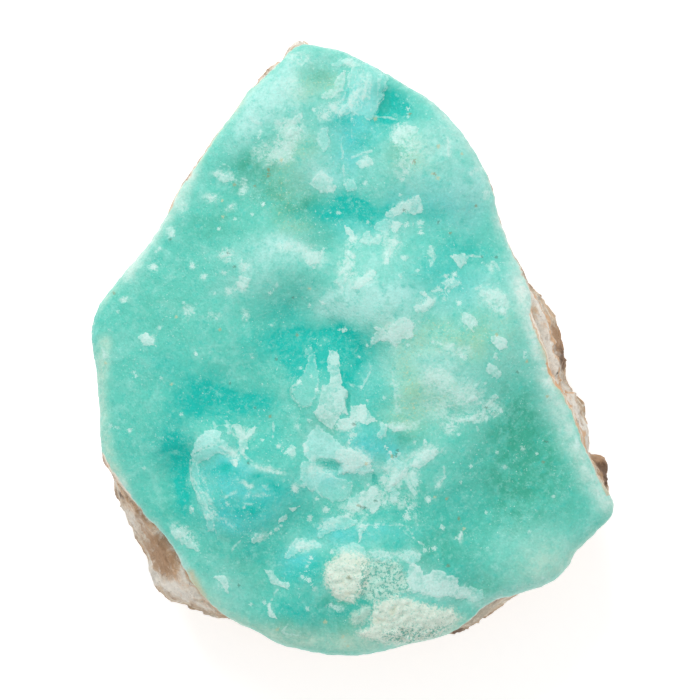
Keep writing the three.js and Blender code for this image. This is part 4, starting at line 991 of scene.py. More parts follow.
@dataclass(frozen=True)
class AragoniteFinish:
    """Waxy, sugary blue-green aragonite with white flakes, chalk and a white rim."""

    body: str = "60C8B7"
    # deep is also the colour of the painted shade in the deep field
    deep: str = "06B9AC"
    # glass is also the colour of the painted light in the glass field
    glass: str = "52CCCB"
    # pale is also the colour of the painted highlight and painted light in the pale field
    pale: str = "ACE3DA"
    # green is also the colour of the painted shade in the green field
    green: str = "3BA88F"
    ochre: str = "94CDAF"
    spot: str = "C6D3AC"
    cloud: str = "C9EAE1"
    frost: str = "C6E7E0"
    plate: str = "B2E9E2"
    chalk: str = "DDEADC"
    yellow: str = "DDE0C2"
    pit: str = "45AE9E"
    white: str = "D6EAE2"
    cream: str = "BFDFCD"
    vein: str = "D2A47C"
    tan: str = "CDBB96"
    # pocket is partly a painted shade colour for the recesses
    pocket: str = "10B0A0"
    speck_share: float = 0.6  # how strongly the brown specks show
    roughness: float = 0.5
    gloss: float = 0.25
    glow: float = 0.2  # share of the light that goes into the stone
    glow_depth: float = 1.5  # how far it goes there, in mm
    sugar_depth: float = 0.05  # of the sugary relief, in mm
    mark_depth: float = 0.035  # of the relief at the marks' edges, in mm

    def make(self) -> bpy.types.Material:
        """Builds the material.

        Returns:
            The material, which reads the fields painted on the crust.
        """
        sheet = NodeSheet("aragonite")
        colour = self.tinted(sheet)
        colour = self.sided(sheet, colour)
        colour = self.rimmed(sheet, colour)
        colour, relief = self.flaked(sheet, colour)
        colour, relief = self.chalked(sheet, colour, relief)
        colour = self.speckled(sheet, colour)
        sheet.join(colour, sheet.shader.inputs["Base Color"])
        self.surfaced(sheet, relief)
        return sheet.material

    def tinted(self, sheet: NodeSheet) -> Socket:
        """Mixes the blue-green body colour from its soft fields, which partly hold painted shade and painted
        highlight, and from cloudy grain.

        Args:
            sheet: the material's nodes.

        Returns:
            The colour's socket.
        """
        cloud = sheet.rise(sheet.grain(3.4, 6.0, 0.65, 0.8), 0.45, 0.68)
        colour = sheet.blend(tint(self.body), tint(self.pale), sheet.scaled(cloud, 0.0, 0.3))
        fine = sheet.scaled(sheet.grain(0.5), -0.1, 0.1)
        curled = sheet.sum_of(Sum.ADD, sheet.grain(2.2, 7.0, 0.72, 0.6), fine)
        shift = sheet.scaled(sheet.rise(curled, 0.36, 0.64), 0.6, 1.4)
        # The deep and green fields are partly painted shade; the pale and glass fields are partly painted
        # highlight and painted light over spots that the shape shades.
        for name in ("pale", "ochre", "green", "glass", "deep"):
            share = sheet.product(sheet.field(name), shift)
            colour = sheet.blend(colour, tint(getattr(self, name)), share)
        mottle = sheet.rise(sheet.grain(0.8, 5.0, 0.75), 0.5, 0.7)
        colour = sheet.blend(colour, tint(self.pale), sheet.scaled(mottle, 0.0, 0.34))
        shade = sheet.rise(sheet.grain(1.1, 5.0, 0.7), 0.48, 0.32)
        colour = sheet.blend(colour, tint(self.deep), sheet.scaled(shade, 0.0, 0.36))
        spots = sheet.product(sheet.rise(sheet.grain(0.36, 2.0), 0.58, 0.68), sheet.field("ochre"), 0.9)
        return sheet.blend(colour, tint(self.spot), spots)

    def sided(self, sheet: NodeSheet, colour: Socket) -> Socket:
        """Lightens the crust's broken side in layers down to the rock.

        Args:
            sheet: the material's nodes.
            colour: the colour below.

        Returns:
            The colour's socket.
        """
        wavering = sheet.scaled(sheet.grain(2.6, 4.0), -0.5, 0.5)
        height = sheet.sum_of(Sum.ADD, sheet.field("height"), wavering)
        layers = sheet.ramp(
            height,
            (
                (0.0, "C99E76"), (0.06, "E9DCC6"), (0.13, "D9EBDD"), (0.3, "A8DCCB"), (0.36, "D5EEE4"),
                (0.5, "8FD3C4"), (0.75, "7ACDBE"), (1.0, "66C9BA"),
            ),
        )
        fibres = sheet.grain(0.5, 3.0, 0.6, place=sheet.stretched(1.0, 0.12))
        layers = sheet.blend(layers, tint(self.white), sheet.scaled(sheet.rise(fibres, 0.5, 0.7), 0.0, 0.45))
        return sheet.blend(colour, layers, sheet.field("side"))

    def rimmed(self, sheet: NodeSheet, colour: Socket) -> Socket:
        """Fades the rim to white and cream where the crust thins out, with its tan lines.

        Args:
            sheet: the material's nodes.
            colour: the colour below.

        Returns:
            The colour's socket.
        """
        fine = sheet.scaled(sheet.grain(0.4), -0.12, 0.12)
        curled = sheet.sum_of(Sum.ADD, sheet.grain(1.8, 6.0, 0.72, 0.4), fine)
        patchy = sheet.scaled(sheet.rise(curled, 0.34, 0.66), 0.6, 1.35)
        colour = sheet.blend(colour, tint(self.cream), sheet.product(sheet.field("cream"), patchy))
        colour = sheet.blend(colour, tint(self.white), sheet.product(sheet.field("white"), patchy))
        wavering = sheet.scaled(sheet.grain(2.4, 4.0, 0.6), -0.7, 0.7)
        inward = sheet.sum_of(Sum.ADD, sheet.field("edge"), wavering)
        lines = sheet.ramp(
            sheet.sum_of(Sum.DIVIDE, inward, 2.0, clamp=True),
            (
                (0.0, "A88C76"), (0.07, "D3C2AE"), (0.18, "EFE7DA"), (0.27, "D2A47C"), (0.34, "E3D6C2"),
                (0.46, "DCEBDD"), (0.53, "D3B48C"), (0.6, "CFE6DA"), (1.0, "C8E6DB"),
            ),
        )
        reach = sheet.product(sheet.field("banded"), sheet.scaled(sheet.grain(1.4, 5.0, 0.7), 0.2, 3.8))
        colour = sheet.blend(colour, lines, sheet.rise(sheet.sum_of(Sum.SUBTRACT, reach, inward), 0.1, 0.6))
        colour = sheet.blend(colour, tint(self.tan), sheet.product(sheet.field("tan"), patchy))
        gappy = sheet.scaled(sheet.grain(0.8, 3.0), -0.25, 0.25)
        broken = sheet.sum_of(Sum.ADD, sheet.field("vein"), gappy)
        line = sheet.product(sheet.rise(broken, -0.1, 0.12), sheet.field("vein_tone"))
        return sheet.blend(colour, tint(self.vein), line)

    def flaked(self, sheet: NodeSheet, colour: Socket) -> tuple[Socket, Socket]:
        """Lays pockets, plates, wispy clouds, flakes, streaks and dots over the body colour.

        Args:
            sheet: the material's nodes.
            colour: the colour below.

        Returns:
            The colour's socket, and the relief that the marks stand up by.
        """
        ragged = sheet.scaled(sheet.grain(0.8, 3.0, 0.6), -0.5, 0.5)
        crumbs = sheet.scaled(sheet.grain(0.42, 4.0, 0.65), -0.42, 0.42)
        shards = sheet.scaled(sheet.cells(1.3, output="Color"), -0.22, 0.22)
        mealy = sheet.grain(0.45, 4.0, 0.7)
        veiled = sheet.grain(1.5, 6.0, 0.7)
        relief = 0.0
        for name, code, low, rag in (
            # The pocket colour is partly painted shade in the recesses.
            ("pocket", self.pocket, 0.8, 0.6),
            ("plate", self.plate, 0.6, 1.0),
            ("flake", self.frost, 0.4, 1.0),
            ("streak", self.frost, 0.4, 0.5),
        ):
            if name == "flake":
                colour = self.clouded(sheet, colour, crumbs, mealy)
            depth = sheet.sum_of(Sum.MULTIPLY_ADD, ragged, rag, sheet.field(name))
            depth = sheet.sum_of(Sum.MULTIPLY_ADD, crumbs, 0.6 * rag, depth)
            mask = sheet.rise(depth, -0.07, 0.07)
            uneven = sheet.sum_of(Sum.ADD, sheet.sum_of(Sum.ADD, mealy, veiled), shards)
            patchy = sheet.scaled(sheet.rise(uneven, 0.76, 1.16), low, 1.0)
            colour = sheet.blend(colour, tint(code), sheet.product(mask, sheet.field(name + "_tone"), patchy))
            if name in ("plate", "flake"):
                edging = sheet.product(mask, sheet.rise(depth, 0.45, 0.1), sheet.rise(mealy, 0.42, 0.6), 0.45)
                colour = sheet.blend(colour, tint(self.frost), edging)
            if name != "pocket":
                relief = sheet.sum_of(Sum.ADD, relief, sheet.rise(depth, -0.2, 0.25))
        return self.dotted(sheet, colour, "dot", tint(self.frost)), relief

    def clouded(self, sheet: NodeSheet, colour: Socket, crumbs: Socket, mealy: Socket) -> Socket:
        """Lays wispy clouds, the white dust in them and their curd-like lines.

        Args:
            sheet: the material's nodes.
            colour: the colour below.
            crumbs: noise that breaks the clouds' edges up.
            mealy: noise that breaks the lines up.

        Returns:
            The colour's socket.
        """
        cloud = sheet.field("cloud")
        loose = sheet.sum_of(Sum.MULTIPLY_ADD, sheet.grain(1.4, 6.0, 0.68, 0.4), 2.2, -1.3)
        wisps = sheet.sum_of(Sum.ADD, sheet.sum_of(Sum.ADD, cloud, loose), crumbs)
        inside = sheet.rise(cloud, 0.02, 0.3)
        share = sheet.product(sheet.rise(wisps, -0.05, 0.6), inside, 0.65)
        colour = sheet.blend(colour, tint(self.cloud), share)
        dust = sheet.rise(sheet.grain(0.38, 4.0, 0.7), 0.5, 0.6)
        share = sheet.product(dust, sheet.rise(cloud, 0.1, 0.55), 0.68)
        colour = sheet.blend(colour, tint(self.frost), share)
        curled = sheet.sum_of(Sum.SUBTRACT, sheet.grain(1.1, 4.0, 0.6, 1.2), 0.5)
        curds = sheet.rise(sheet.sum_of(Sum.ABSOLUTE, curled), 0.035, 0.0)
        curds = sheet.product(curds, sheet.rise(mealy, 0.4, 0.6))
        share = sheet.product(curds, sheet.rise(cloud, 0.1, 0.6), 0.55)
        return sheet.blend(colour, tint(self.frost), share)

    def dotted(self, sheet: NodeSheet, colour: Socket, name: str, paint: object) -> Socket:
        """Sprinkles the listed dots.

        Args:
            sheet: the material's nodes.
            colour: the colour below.
            name: the field that holds the dots.
            paint: their colour.

        Returns:
            The colour's socket.
        """
        feeds = {"Vector": sheet.field(name, "Vector")}
        parts = sheet.add("SeparateXYZ", {}, feeds).outputs
        squares = (sheet.sum_of(Sum.MULTIPLY, part, part) for part in parts[:2])
        reach = sheet.sum_of(Sum.SQRT, sheet.sum_of(Sum.ADD, *squares))
        uneven = sheet.scaled(sheet.grain(0.2, 2.0), -2.0, 2.0)
        mask = sheet.rise(sheet.sum_of(Sum.ADD, reach, uneven), 1.5, 0.5)
        # A face shows dots only where all its corners are near one.
        near = sheet.sum_of(Sum.GREATER_THAN, sheet.field(name + "_near"), 0.98)
        strength = parts[2] if name == "dot" else self.speck_share
        return sheet.blend(colour, paint, sheet.product(mask, near, strength))

    def chalked(self, sheet: NodeSheet, colour: Socket, relief: Socket) -> tuple[Socket, Socket]:
        """Lays the chalky tufts and the porous patches between them.

        Args:
            sheet: the material's nodes.
            colour: the colour below.
            relief: how far the other marks stand up.

        Returns:
            The colour's socket, and the relief.
        """
        pitted = sheet.grain(0.34, 3.0, 0.6)
        ragged = sheet.scaled(sheet.grain(1.4, 5.0, 0.7), -1.2, 1.2)
        ragged = sheet.sum_of(Sum.ADD, ragged, sheet.scaled(pitted, -1.3, 1.3))
        porous = sheet.rise(sheet.sum_of(Sum.ADD, sheet.field("porous"), ragged), -0.45, 0.3)
        colour = sheet.blend(colour, tint(self.chalk), sheet.product(porous, sheet.field("porous_tone"), 0.7))
        chalk = sheet.rise(sheet.sum_of(Sum.ADD, sheet.field("chalk"), ragged), -0.8, 0.5)
        mealy = sheet.scaled(sheet.grain(0.8, 5.0, 0.7), 0.6, 1.2)
        colour = sheet.blend(colour, tint(self.chalk), sheet.product(chalk, sheet.field("chalk_tone"), mealy))
        yellowed = sheet.product(chalk, sheet.rise(sheet.grain(2.2), 0.55, 0.8), 0.6)
        colour = sheet.blend(colour, tint(self.yellow), yellowed)
        pits = sheet.rise(sheet.grain(0.42, 4.0, 0.7), 0.52, 0.42)
        colour = sheet.blend(colour, tint(self.pit), sheet.product(pits, porous, 0.8))
        fine = sheet.product(sheet.rise(pitted, 0.45, 0.35), chalk, 0.38)
        colour = sheet.blend(colour, tint(self.pit), fine)
        crumbly = sheet.sum_of(Sum.MULTIPLY, chalk, sheet.grain(0.5, 4.0, 0.7))
        return colour, sheet.sum_of(Sum.MULTIPLY_ADD, crumbly, 2.2, relief)

    def speckled(self, sheet: NodeSheet, colour: Socket) -> Socket:
        """Adds the sugary grain, painted glints as small bright points, and a few brown specks.

        Args:
            sheet: the material's nodes.
            colour: the colour below.

        Returns:
            The colour's socket.
        """
        sugar = sheet.cells(0.26, output="Color")
        colour = sheet.blend(colour, sheet.scaled(sugar, 0.93, 1.07), 1.0, Blend.MULTIPLY)
        # Painted glints: tiny bright points in the frost colour stand in for sparkles of light.
        for size, reach, share in ((1.3, 0.11, 0.6), (0.8, 0.13, 0.3)):
            point = sheet.rise(sheet.cells(size), reach, reach * 0.5)
            glinting = sheet.rise(sheet.cells(size, output="Color"), 0.6, 0.8)
            colour = sheet.blend(colour, tint(self.frost), sheet.product(point, glinting, share))
        flecks = sheet.product(sheet.rise(sheet.grain(0.3, 2.0), 0.64, 0.7), 0.55)
        gathered = sheet.rise(sheet.grain(5.0), 0.42, 0.6)
        colour = sheet.blend(colour, tint(self.frost), sheet.product(flecks, gathered))
        tone = sheet.add("SeparateXYZ", {}, {"Vector": sheet.field("speck", "Vector")}).outputs[2]
        paint = sheet.ramp(tone, ((0.0, "4C7A6B"), (0.5, "8C8A62"), (0.8, "B9A878"), (1.0, "C9CBA6")))
        return self.dotted(sheet, colour, "speck", paint)

    def surfaced(self, sheet: NodeSheet, relief: Socket) -> None:
        """Sets the gloss, the translucency and the fine relief.

        Args:
            sheet: the material's nodes.
            relief: how far the marks stand up.
        """
        shader = sheet.shader.inputs
        grainy = sheet.sum_of(Sum.ADD, sheet.cells(0.35), sheet.grain(0.5, 4.0, 0.7))
        normal = sheet.bump(grainy, self.sugar_depth)
        normal = sheet.bump(relief, self.mark_depth, normal)
        sheet.join(normal, shader["Normal"])
        shader["Subsurface Weight"].default_value = self.glow
        shader["Subsurface Radius"].default_value = (0.6, 1.0, 1.0)
        shader["Subsurface Scale"].default_value = self.glow_depth * MM
        shader["Specular IOR Level"].default_value = self.gloss
        shader["Roughness"].default_value = self.roughness


@dataclass(frozen=True)
class HostRockFinish:
    """Broken, banded cream and tan rock with brown, rusty and dark patches."""

    brown: str = "B08A68"
    cream: str = "F3EDE2"
    rust: str = "DFB48A"
    dark: str = "6E5543"
    grey: str = "BDB3A0"
    layered_depth: float = 18.0  # under the crust, over which the row of layers runs, in mm
    grit_depth: float = 0.4  # of the gritty relief, in mm
    roughness: float = 0.88

    def make(self) -> bpy.types.Material:
        """Builds the material.

        Returns:
            The material, which reads the fields painted on the rock.
        """
        sheet = NodeSheet("host_rock")
        colour = self.banded(sheet)
        ragged = sheet.scaled(sheet.grain(2.2, 7.0, 0.75, 0.5), -1.3, 1.3)
        for name in ("brown", "cream", "rust", "grey", "dark"):
            patch = sheet.rise(sheet.sum_of(Sum.ADD, sheet.field(name), ragged), 0.15, 0.85)
            share = sheet.product(patch, sheet.rise(sheet.field(name), 0.04, 0.3), 0.9)
            colour = sheet.blend(colour, tint(getattr(self, name)), share)
        light = sheet.scaled(sheet.grain(0.6, 6.0, 0.78), 0.65, 1.5)
        colour = sheet.blend(colour, light, 1.0, Blend.MULTIPLY)
        pores = sheet.rise(sheet.grain(0.45, 4.0, 0.6), 0.38, 0.3)
        colour = sheet.blend(colour, tint(self.dark), sheet.scaled(pores, 0.0, 0.5))
        sheet.join(colour, sheet.shader.inputs["Base Color"])
        rough = sheet.sum_of(Sum.ADD, sheet.grain(1.6, 6.0, 0.7), sheet.grain(0.35, 4.0, 0.7))
        sheet.join(sheet.bump(rough, self.grit_depth), sheet.shader.inputs["Normal"])
        sheet.shader.inputs["Roughness"].default_value = self.roughness
        return sheet.material

    def banded(self, sheet: NodeSheet) -> Socket:
        """Gives the rock's irregular layers under the crust.

        Args:
            sheet: the material's nodes.

        Returns:
            The colour's socket.
        """
        broad = sheet.scaled(sheet.grain(9.0, 5.0, 0.6), -2.5, 2.5)
        fine = sheet.scaled(sheet.grain(1.5, 4.0, 0.6), -0.7, 0.7)
        depth = sheet.sum_of(Sum.ADD, sheet.sum_of(Sum.ADD, sheet.field("below_crust"), broad), fine)
        layers = sheet.ramp(
            sheet.sum_of(Sum.DIVIDE, depth, self.layered_depth, clamp=True),
            (
                (0.0, "F4EEE2"), (0.05, "DEBD9A"), (0.08, "EFE6D6"), (0.14, "D9C0A6"), (0.17, "ECE3D2"),
                (0.25, "C9B096"), (0.3, "E5D8C2"), (0.42, "D0B597"), (0.47, "B4977A"), (0.52, "DCC6A8"),
                (0.7, "C6AA8C"), (0.78, "E2D1B5"), (1.0, "BFA386"),
            ),
        )
        blotch = sheet.rise(sheet.grain(5.0, 5.0, 0.65), 0.52, 0.66)
        layers = sheet.blend(layers, tint(self.brown), sheet.scaled(blotch, 0.0, 0.5))
        upright = sheet.add("CombineXYZ", {}, {"Z": sheet.sum_of(Sum.MULTIPLY, depth, MM)}).outputs[0]
        place = sheet.add("VectorMath", {}, {0: sheet.stretched(0.12, 0.0), 1: upright}).outputs[0]
        lines = sheet.grain(0.55, 4.0, 0.6, place=place)
        layers = sheet.blend(layers, tint(self.cream), sheet.scaled(sheet.rise(lines, 0.52, 0.64), 0.0, 0.6))
        return sheet.blend(layers, tint(self.rust), sheet.scaled(sheet.rise(lines, 0.45, 0.36), 0.0, 0.7))


# Pieces


@dataclass
class Stone:
    """A piece of the specimen, refined from its CAD node.

    The copy is remeshed evenly, thinned out on the face that its neighbour hides, given its fine
    relief and painted with the fields that its finish reads.
    """

    node: str
    piece: str
    slot: str
    pitch: float = 0.4  # of the even mesh, in mm
    smoothing: int = 6  # rounds of smoothing
    hidden_share: float = 0.06  # of the faces kept on the hidden side
    hidden_inset: float = 2.0  # how far inside the outline that side starts, in mm
    hidden_up: bool = False  # whether the hidden side is the upper one

    def refined(self) -> bpy.types.Object:
        """Copies the CAD node into a fine, even, closed mesh.

        Returns:
            The new object.
        """
        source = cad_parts[self.node]
        piece = bpy.data.objects.new(self.piece, source.data.copy())
        piece.data.materials.clear()
        bpy.context.scene.collection.objects.link(piece)
        bm = bmesh.new()
        bm.from_mesh(piece.data)
        bmesh.ops.remove_doubles(bm, verts=bm.verts, dist=1e-6)
        bm.to_mesh(piece.data)
        bm.free()
        rounder = piece.modifiers.new("round", "SUBSURF")
        rounder.levels = rounder.render_levels = 1
        even = piece.modifiers.new("even", "REMESH")
        even.mode = "VOXEL"
        even.voxel_size = self.pitch * MM
        settle = piece.modifiers.new("settle", "SMOOTH")
        settle.factor = 0.5
        settle.iterations = self.smoothing
        self.baked(piece)
        self.thinned(piece)
        return piece

    def baked(self, piece: bpy.types.Object) -> None:
        """Turns a piece's modifiers into its mesh.

        Args:
            piece: the piece.
        """
        graph = bpy.context.evaluated_depsgraph_get()
        mesh = bpy.data.meshes.new_from_object(piece.evaluated_get(graph))
        piece.modifiers.clear()
        piece.data = mesh
        piece.data.name = piece.name

    def thinned(self, piece: bpy.types.Object) -> None:
        """Thins out the faces on the hidden side.

        Args:
            piece: the piece.
        """
        points, normals = self.measured(piece)
        facing = normals[:, 2] if self.hidden_up else -normals[:, 2]
        inner = self.edge_distance(points) > self.hidden_inset
        low = points[:, 2] < np.median(points[:, 2])
        hidden = np.flatnonzero((facing > 0.5) & inner & (low | self.hidden_up))
        group = piece.vertex_groups.new(name="hidden")
        group.add([int(i) for i in hidden], 1.0, "REPLACE")
        thin = piece.modifiers.new("thin", "DECIMATE")
        thin.vertex_group = "hidden"
        thin.ratio = 1 - (1 - self.hidden_share) * len(hidden) / len(points)
        self.baked(piece)
        piece.vertex_groups.clear()

    def measured(self, piece: bpy.types.Object) -> tuple[np.ndarray, np.ndarray]:
        """Reads a piece's points and normals.

        Args:
            piece: the piece.

        Returns:
            Its points in mm, and their normals.
        """
        mesh = piece.data
        points = np.empty(3 * len(mesh.vertices))
        mesh.vertices.foreach_get("co", points)
        normals = np.empty(3 * len(mesh.vertices), np.float32)
        mesh.vertex_normals.foreach_get("vector", normals)
        return points.reshape(-1, 3) / MM, normals.reshape(-1, 3).astype(float)

    def moved(self, piece: bpy.types.Object, points: np.ndarray) -> None:
        """Puts a piece's points elsewhere.

        Args:
            piece: the piece.
            points: the new places, in mm.
        """
        piece.data.vertices.foreach_set("co", (points * MM).ravel())
        piece.data.update()

    def shifted(self, points: np.ndarray, shifts: Sequence[tuple[Haze, tuple[float, float]]]) -> None:
        """Sets parts of the outline a little further out or in.

        Args:
            points: points in mm, which are moved.
            shifts: soft ovals, each with how far its middle moves along x and y.
        """
        plan = points[:, :2].copy()
        for soft, way in shifts:
            points[:, :2] += soft.over(plan)[:, None] * way

    def edge_distance(self, points: np.ndarray) -> np.ndarray:
        """Measures how far points lie inside the piece's outline, seen from above.

        Args:
            points: points in mm.

        Returns:
            Distances towards the middle, in mm.
        """
        reach = np.hypot(points[:, 0], points[:, 1])
        return self.round_about(points, reach, np.maximum, 0.0) - reach

    def round_about(
        self, points: np.ndarray, values: np.ndarray, pick: np.ufunc, start: float
    ) -> np.ndarray:
        """Finds the extreme of a value along each bearing from the middle.

        Args:
            points: points in mm.
            values: a value for each of them.
            pick: which extreme, as numpy's minimum or maximum.
            start: the value that it starts from.

        Returns:
            The extreme for each point's own bearing.
        """
        bearing = np.arctan2(points[:, 1], points[:, 0])
        bins = ((bearing + math.pi) / math.tau * BEARINGS).astype(int) % BEARINGS
        extremes = np.full(BEARINGS, start)
        pick.at(extremes, bins, values)
        middles = -math.pi + (np.arange(BEARINGS) + 0.5) * math.tau / BEARINGS
        return np.interp(bearing, middles, extremes, period=math.tau)

    def paint(self, piece: bpy.types.Object, fields: dict[str, np.ndarray]) -> None:
        """Stores named fields on a piece's points.

        Args:
            piece: the piece.
            fields: a value or a vector for each point, by name.
        """
        for name, values in fields.items():
            flat = values.ndim == 1
            layer = piece.data.attributes.new(name, "FLOAT" if flat else "FLOAT_VECTOR", "POINT")
            layer.data.foreach_set("value" if flat else "vector", values.astype(np.float32).ravel())

    def finished(self, piece: bpy.types.Object, material: bpy.types.Material) -> None:
        """Dresses a piece and puts it in its node's place.

        Args:
            piece: the piece.
            material: its finish.
        """
        piece.data.materials.append(material)
        piece.data.shade_smooth()
        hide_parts(self.node)
        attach(piece, BODY)


@dataclass
class Crust(Stone):
    """The blue-green aragonite crust."""

    node: str = "aragonite_crust"
    piece: str = "crust"
    slot: str = "aragonite"
    pitch: float = 0.3
    swell: float = 0.12  # low waves on its surface, in mm
    flake_rise: float = 0.07
    plate_rise: float = 0.09
    pocket_drop: float = 0.18
    chalk_rise: float = 0.3
    chalk_grit: float = 0.3  # how rough the chalk is
    chips: float = 0.12  # how rough its rim is
    overlap: float = 0.3  # how far its underside reaches into the rock
    fraying: float = 0.22  # how far the marks' edges are frayed
    wavering: float = 1.3  # how far the soft patches waver
    rim_width: float = 1.5  # of the strip where its lower edge is looked for
    side_height: float = 6.0  # over which the layers of its side run

    def build(self) -> bpy.types.Object:
        """Builds the crust.

        Returns:
            The finished piece.
        """
        piece = self.refined()
        points, normals = self.measured(piece)
        fields = self.fields(points, normals)
        points = points + normals * self.relief(points, normals, fields)[:, None]
        self.shifted(points, CRUST_SHIFTS)
        points[:, 2] -= self.overlap * smooth_rise(-normals[:, 2], 0.0, 0.5)
        self.moved(piece, points)
        self.paint(piece, fields)
        self.finished(piece, AragoniteFinish().make())
        return piece

    def fields(self, points: np.ndarray, normals: np.ndarray) -> dict[str, np.ndarray]:
        """Works out the fields that the finish reads.

        Args:
            points: the crust's points in mm.
            normals: their normals.

        Returns:
            A value for each point, by name.
        """
        plan = points[:, :2]
        frays = [noise_over(points, 1.3, 3.0), noise_over(points, 1.3, 8.0)]
        ragged = plan + self.fraying * np.stack(frays, axis=1)
        bends = [noise_over(points, 4.0, 13.0), noise_over(points, 4.0, 18.0)]
        wavy = plan + self.wavering * np.stack(bends, axis=1)
        fields = {name: summed(softs, wavy) for name, softs in SOFT_FIELDS.items()}
        fields |= {name: summed(softs, ragged) for name, softs in EDGE_FIELDS.items()}
        for name, marks in MARK_FIELDS.items():
            fields[name], fields[name + "_tone"] = laid_over(marks, ragged)
        for name, specks in (("dot", DOTS), ("speck", SPECKS)):
            fields[name], fields[name + "_near"] = nearest_dot(specks, plan)
        fields["edge"] = self.edge_distance(points)
        rim = np.where(fields["edge"] < self.rim_width, points[:, 2], ABOVE_ALL)
        floor = self.round_about(points, rim, np.minimum, ABOVE_ALL)
        fields["height"] = np.clip((points[:, 2] - floor) / self.side_height, 0, 1)
        fields["side"] = smooth_rise(normals[:, 2], 0.62, 0.2)
        return fields

    def relief(self, points: np.ndarray, normals: np.ndarray, fields: dict[str, np.ndarray]) -> np.ndarray:
        """Works out the fine relief.

        Args:
            points: the crust's points in mm.
            normals: their normals, not used.
            fields: the painted fields.

        Returns:
            How far each point moves along its normal, in mm.
        """
        rise = self.swell * noise_over(points, 2.6, 31.0, 3)
        rise += self.plate_rise * smooth_rise(fields["plate"], -0.15, 0.25)
        rise += self.flake_rise * smooth_rise(fields["flake"], -0.15, 0.25)
        rise -= self.pocket_drop * smooth_rise(fields["pocket"], -0.5, 0.4)
        mealy = noise_over(points, 0.8, 41.0, 3)
        rise += smooth_rise(fields["chalk"], -0.4, 0.6) * (self.chalk_rise + self.chalk_grit * mealy)
        rise += smooth_rise(fields["porous"], -0.3, 0.4) * self.chalk_grit * mealy
        rise += self.chips * smooth_rise(fields["edge"], 2.2, 0.4) * noise_over(points, 1.1, 51.0, 3)
        return rise


@dataclass
class HostRock(Stone):
    """The banded rock that the crust grew on."""

    node: str = "host_rock"
    piece: str = "rock"
    slot: str = "host_rock"
    hidden_up: bool = True
    ledge: float = 0.22  # how far its layers stand out, in mm
    chip: float = 0.35  # how deep its broken facets are
    small_chip: float = 0.2  # how deep the facets in those are
    grit: float = 0.12
    sink: float = 0.1  # how far the whole relief is set back
    overlap: float = 0.15  # how far its top reaches into the crust
    wavering: float = 0.9  # how far its patches waver
    edge_width: float = 9.0  # of the strip where the top of its side is looked for
    patch_depth: float = 14.0  # under the crust, where its patches end

    def build(self) -> bpy.types.Object:
        """Builds the rock.

        Returns:
            The finished piece.
        """
        piece = self.refined()
        points, normals = self.measured(piece)
        fields = self.fields(points)
        points = points + normals * self.relief(points, normals)[:, None]
        self.shifted(points, ROCK_SHIFTS)
        points[:, 2] += self.overlap * smooth_rise(normals[:, 2], 0.0, 0.5)
        self.moved(piece, points)
        self.paint(piece, fields)
        self.finished(piece, HostRockFinish().make())
        return piece

    def fields(self, points: np.ndarray) -> dict[str, np.ndarray]:
        """Works out the fields that the finish reads.

        Args:
            points: the rock's points in mm.

        Returns:
            A value for each point, by name.
        """
        rim = np.where(self.edge_distance(points) < self.edge_width, points[:, 2], 0.0)
        fields = {"below_crust": self.round_about(points, rim, np.maximum, 0.0) - points[:, 2]}
        near = smooth_rise(fields["below_crust"], self.patch_depth, self.patch_depth / 2)
        bends = [noise_over(points, 3.0, 23.0), noise_over(points, 3.0, 28.0)]
        wavy = points[:, :2] + self.wavering * np.stack(bends, axis=1)
        fields |= {name: near * summed(softs, wavy) for name, softs in PATCHES.items()}
        return fields

    def relief(self, points: np.ndarray, normals: np.ndarray) -> np.ndarray:
        """Works out the broken relief.

        Args:
            points: the rock's points in mm.
            normals: their normals.

        Returns:
            How far each point moves along its normal, in mm.
        """
        side = 1 - np.abs(normals[:, 2])
        warped = points + 1.2 * noise_over(points, 6.0, 2.0)[:, None]
        layered = noise_over(warped * np.array([0.3, 0.3, 1.0]), 1.3, 5.0, 3)
        rise = self.ledge * side * layered
        rise += self.chip * facets_over(warped, 3.2, 4.0) + self.small_chip * facets_over(warped, 1.5, 9.0)
        rise += self.grit * noise_over(points, 1.1, 12.0, 3)
        resting = smooth_rise(points[:, 2], 0.05, 1.0)
        return (rise - self.sink) * resting


# Studio


@dataclass(frozen=True)
class Lamp:
    """A square soft light that points at the specimen: its place and size in m, and its power in W."""

    name: str
    place: tuple[float, float, float]
    size: float
    power: float

    def hang(self) -> None:
        """Puts the light in its place."""
        data = bpy.data.lights.new(self.name, "AREA")
        data.size = self.size
        data.energy = self.power
        light = bpy.data.objects.new(self.name, data)
        light.location = self.place
        light.rotation_euler = (-Vector(self.place)).to_track_quat("-Z", "Y").to_euler()
        bpy.context.scene.collection.objects.link(light)


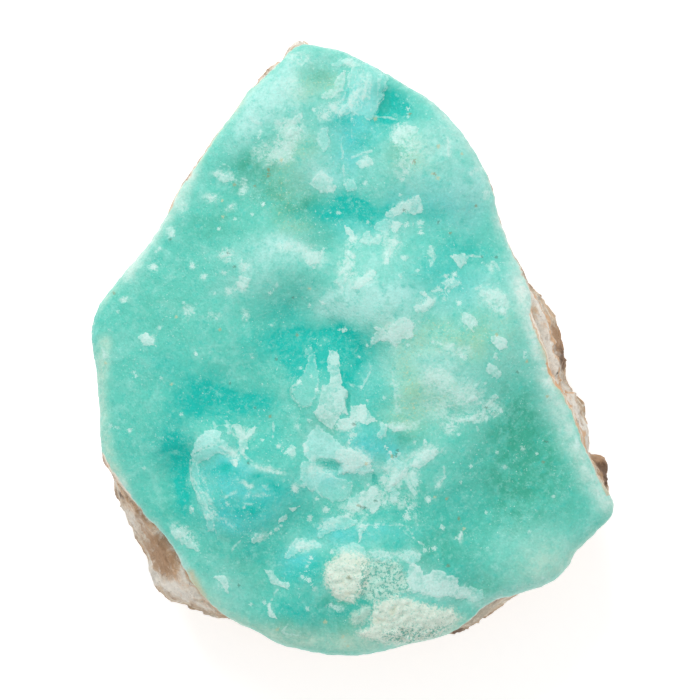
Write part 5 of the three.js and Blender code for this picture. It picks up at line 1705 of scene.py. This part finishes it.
@dataclass(frozen=True)
class Studio:
    """The pale floor, soft lights and the camera straight above the specimen."""

    focus_height: float = 20.0  # height over the floor where the photographed scale holds, in mm
    frame_width: float = 105.0  # what the picture spans at that height, in mm
    sensor: float = 36.0  # in mm
    lens: float = 200.0  # in mm
    centre: tuple[float, float] = (-0.375, -0.225)  # that the camera looks at, in mm
    clip: tuple[float, float] = (0.01, 20.0)  # nearest and farthest that it sees, in m
    floor_size: float = 6.0  # from the middle to an edge, in m
    floor_tone: float = 0.86
    floor_roughness: float = 0.9
    floor_glow: float = 0.42
    room_light: float = 0.6
    lamps: tuple[Lamp, ...] = (
        Lamp("key", (-0.25, 0.75, 0.75), 0.5, 6.4),
        Lamp("fill", (0.2, -0.3, 0.8), 0.6, 0.9),
    )

    def camera(self) -> None:
        """Sets the camera up, looking straight down with +Y at the top."""
        data = bpy.data.cameras.new("camera")
        data.lens = self.lens
        data.sensor_width = self.sensor
        data.clip_start, data.clip_end = self.clip
        camera = bpy.data.objects.new("camera", data)
        distance = self.frame_width * self.lens / self.sensor
        camera.location = Vector((*self.centre, self.focus_height + distance)) * MM
        bpy.context.scene.collection.objects.link(camera)
        bpy.context.scene.camera = camera

    def floor(self) -> None:
        """Lays the pale floor, which glows a little so that its shadows stay light."""
        bm = bmesh.new()
        bmesh.ops.create_grid(bm, x_segments=1, y_segments=1, size=self.floor_size)
        mesh = bpy.data.meshes.new("floor")
        bm.to_mesh(mesh)
        bm.free()
        floor = bpy.data.objects.new("floor", mesh)
        sheet = NodeSheet("floor")
        feeds = sheet.shader.inputs
        feeds["Base Color"].default_value = (self.floor_tone, self.floor_tone, self.floor_tone, 1)
        feeds["Roughness"].default_value = self.floor_roughness
        feeds["Specular IOR Level"].default_value = 0.0
        feeds["Emission Color"].default_value = (1, 1, 1, 1)
        feeds["Emission Strength"].default_value = self.floor_glow
        mesh.materials.append(sheet.material)
        bpy.context.scene.collection.objects.link(floor)

    def lights(self) -> None:
        """Lights the room evenly and hangs the lamps, the large one at the upper left."""
        world = bpy.data.worlds.new("room")
        world.use_nodes = True
        sky = world.node_tree.nodes["Background"].inputs
        sky["Color"].default_value = (1, 1, 1, 1)
        sky["Strength"].default_value = self.room_light
        bpy.context.scene.world = world
        for lamp in self.lamps:
            lamp.hang()

    def set_up(self) -> None:
        """Sets the whole studio up."""
        self.floor()
        self.lights()
        self.camera()
        bpy.context.scene.view_settings.view_transform = "Standard"


def main() -> None:
    """Builds the specimen and the studio."""
    logging.basicConfig(level=logging.INFO, format="%(message)s")
    for stone in (HostRock(), Crust()):
        piece = stone.build()
        log.info("%s: %d faces", piece.name, len(piece.data.polygons))
    Studio().set_up()


if __name__ == "__main__":
    main()
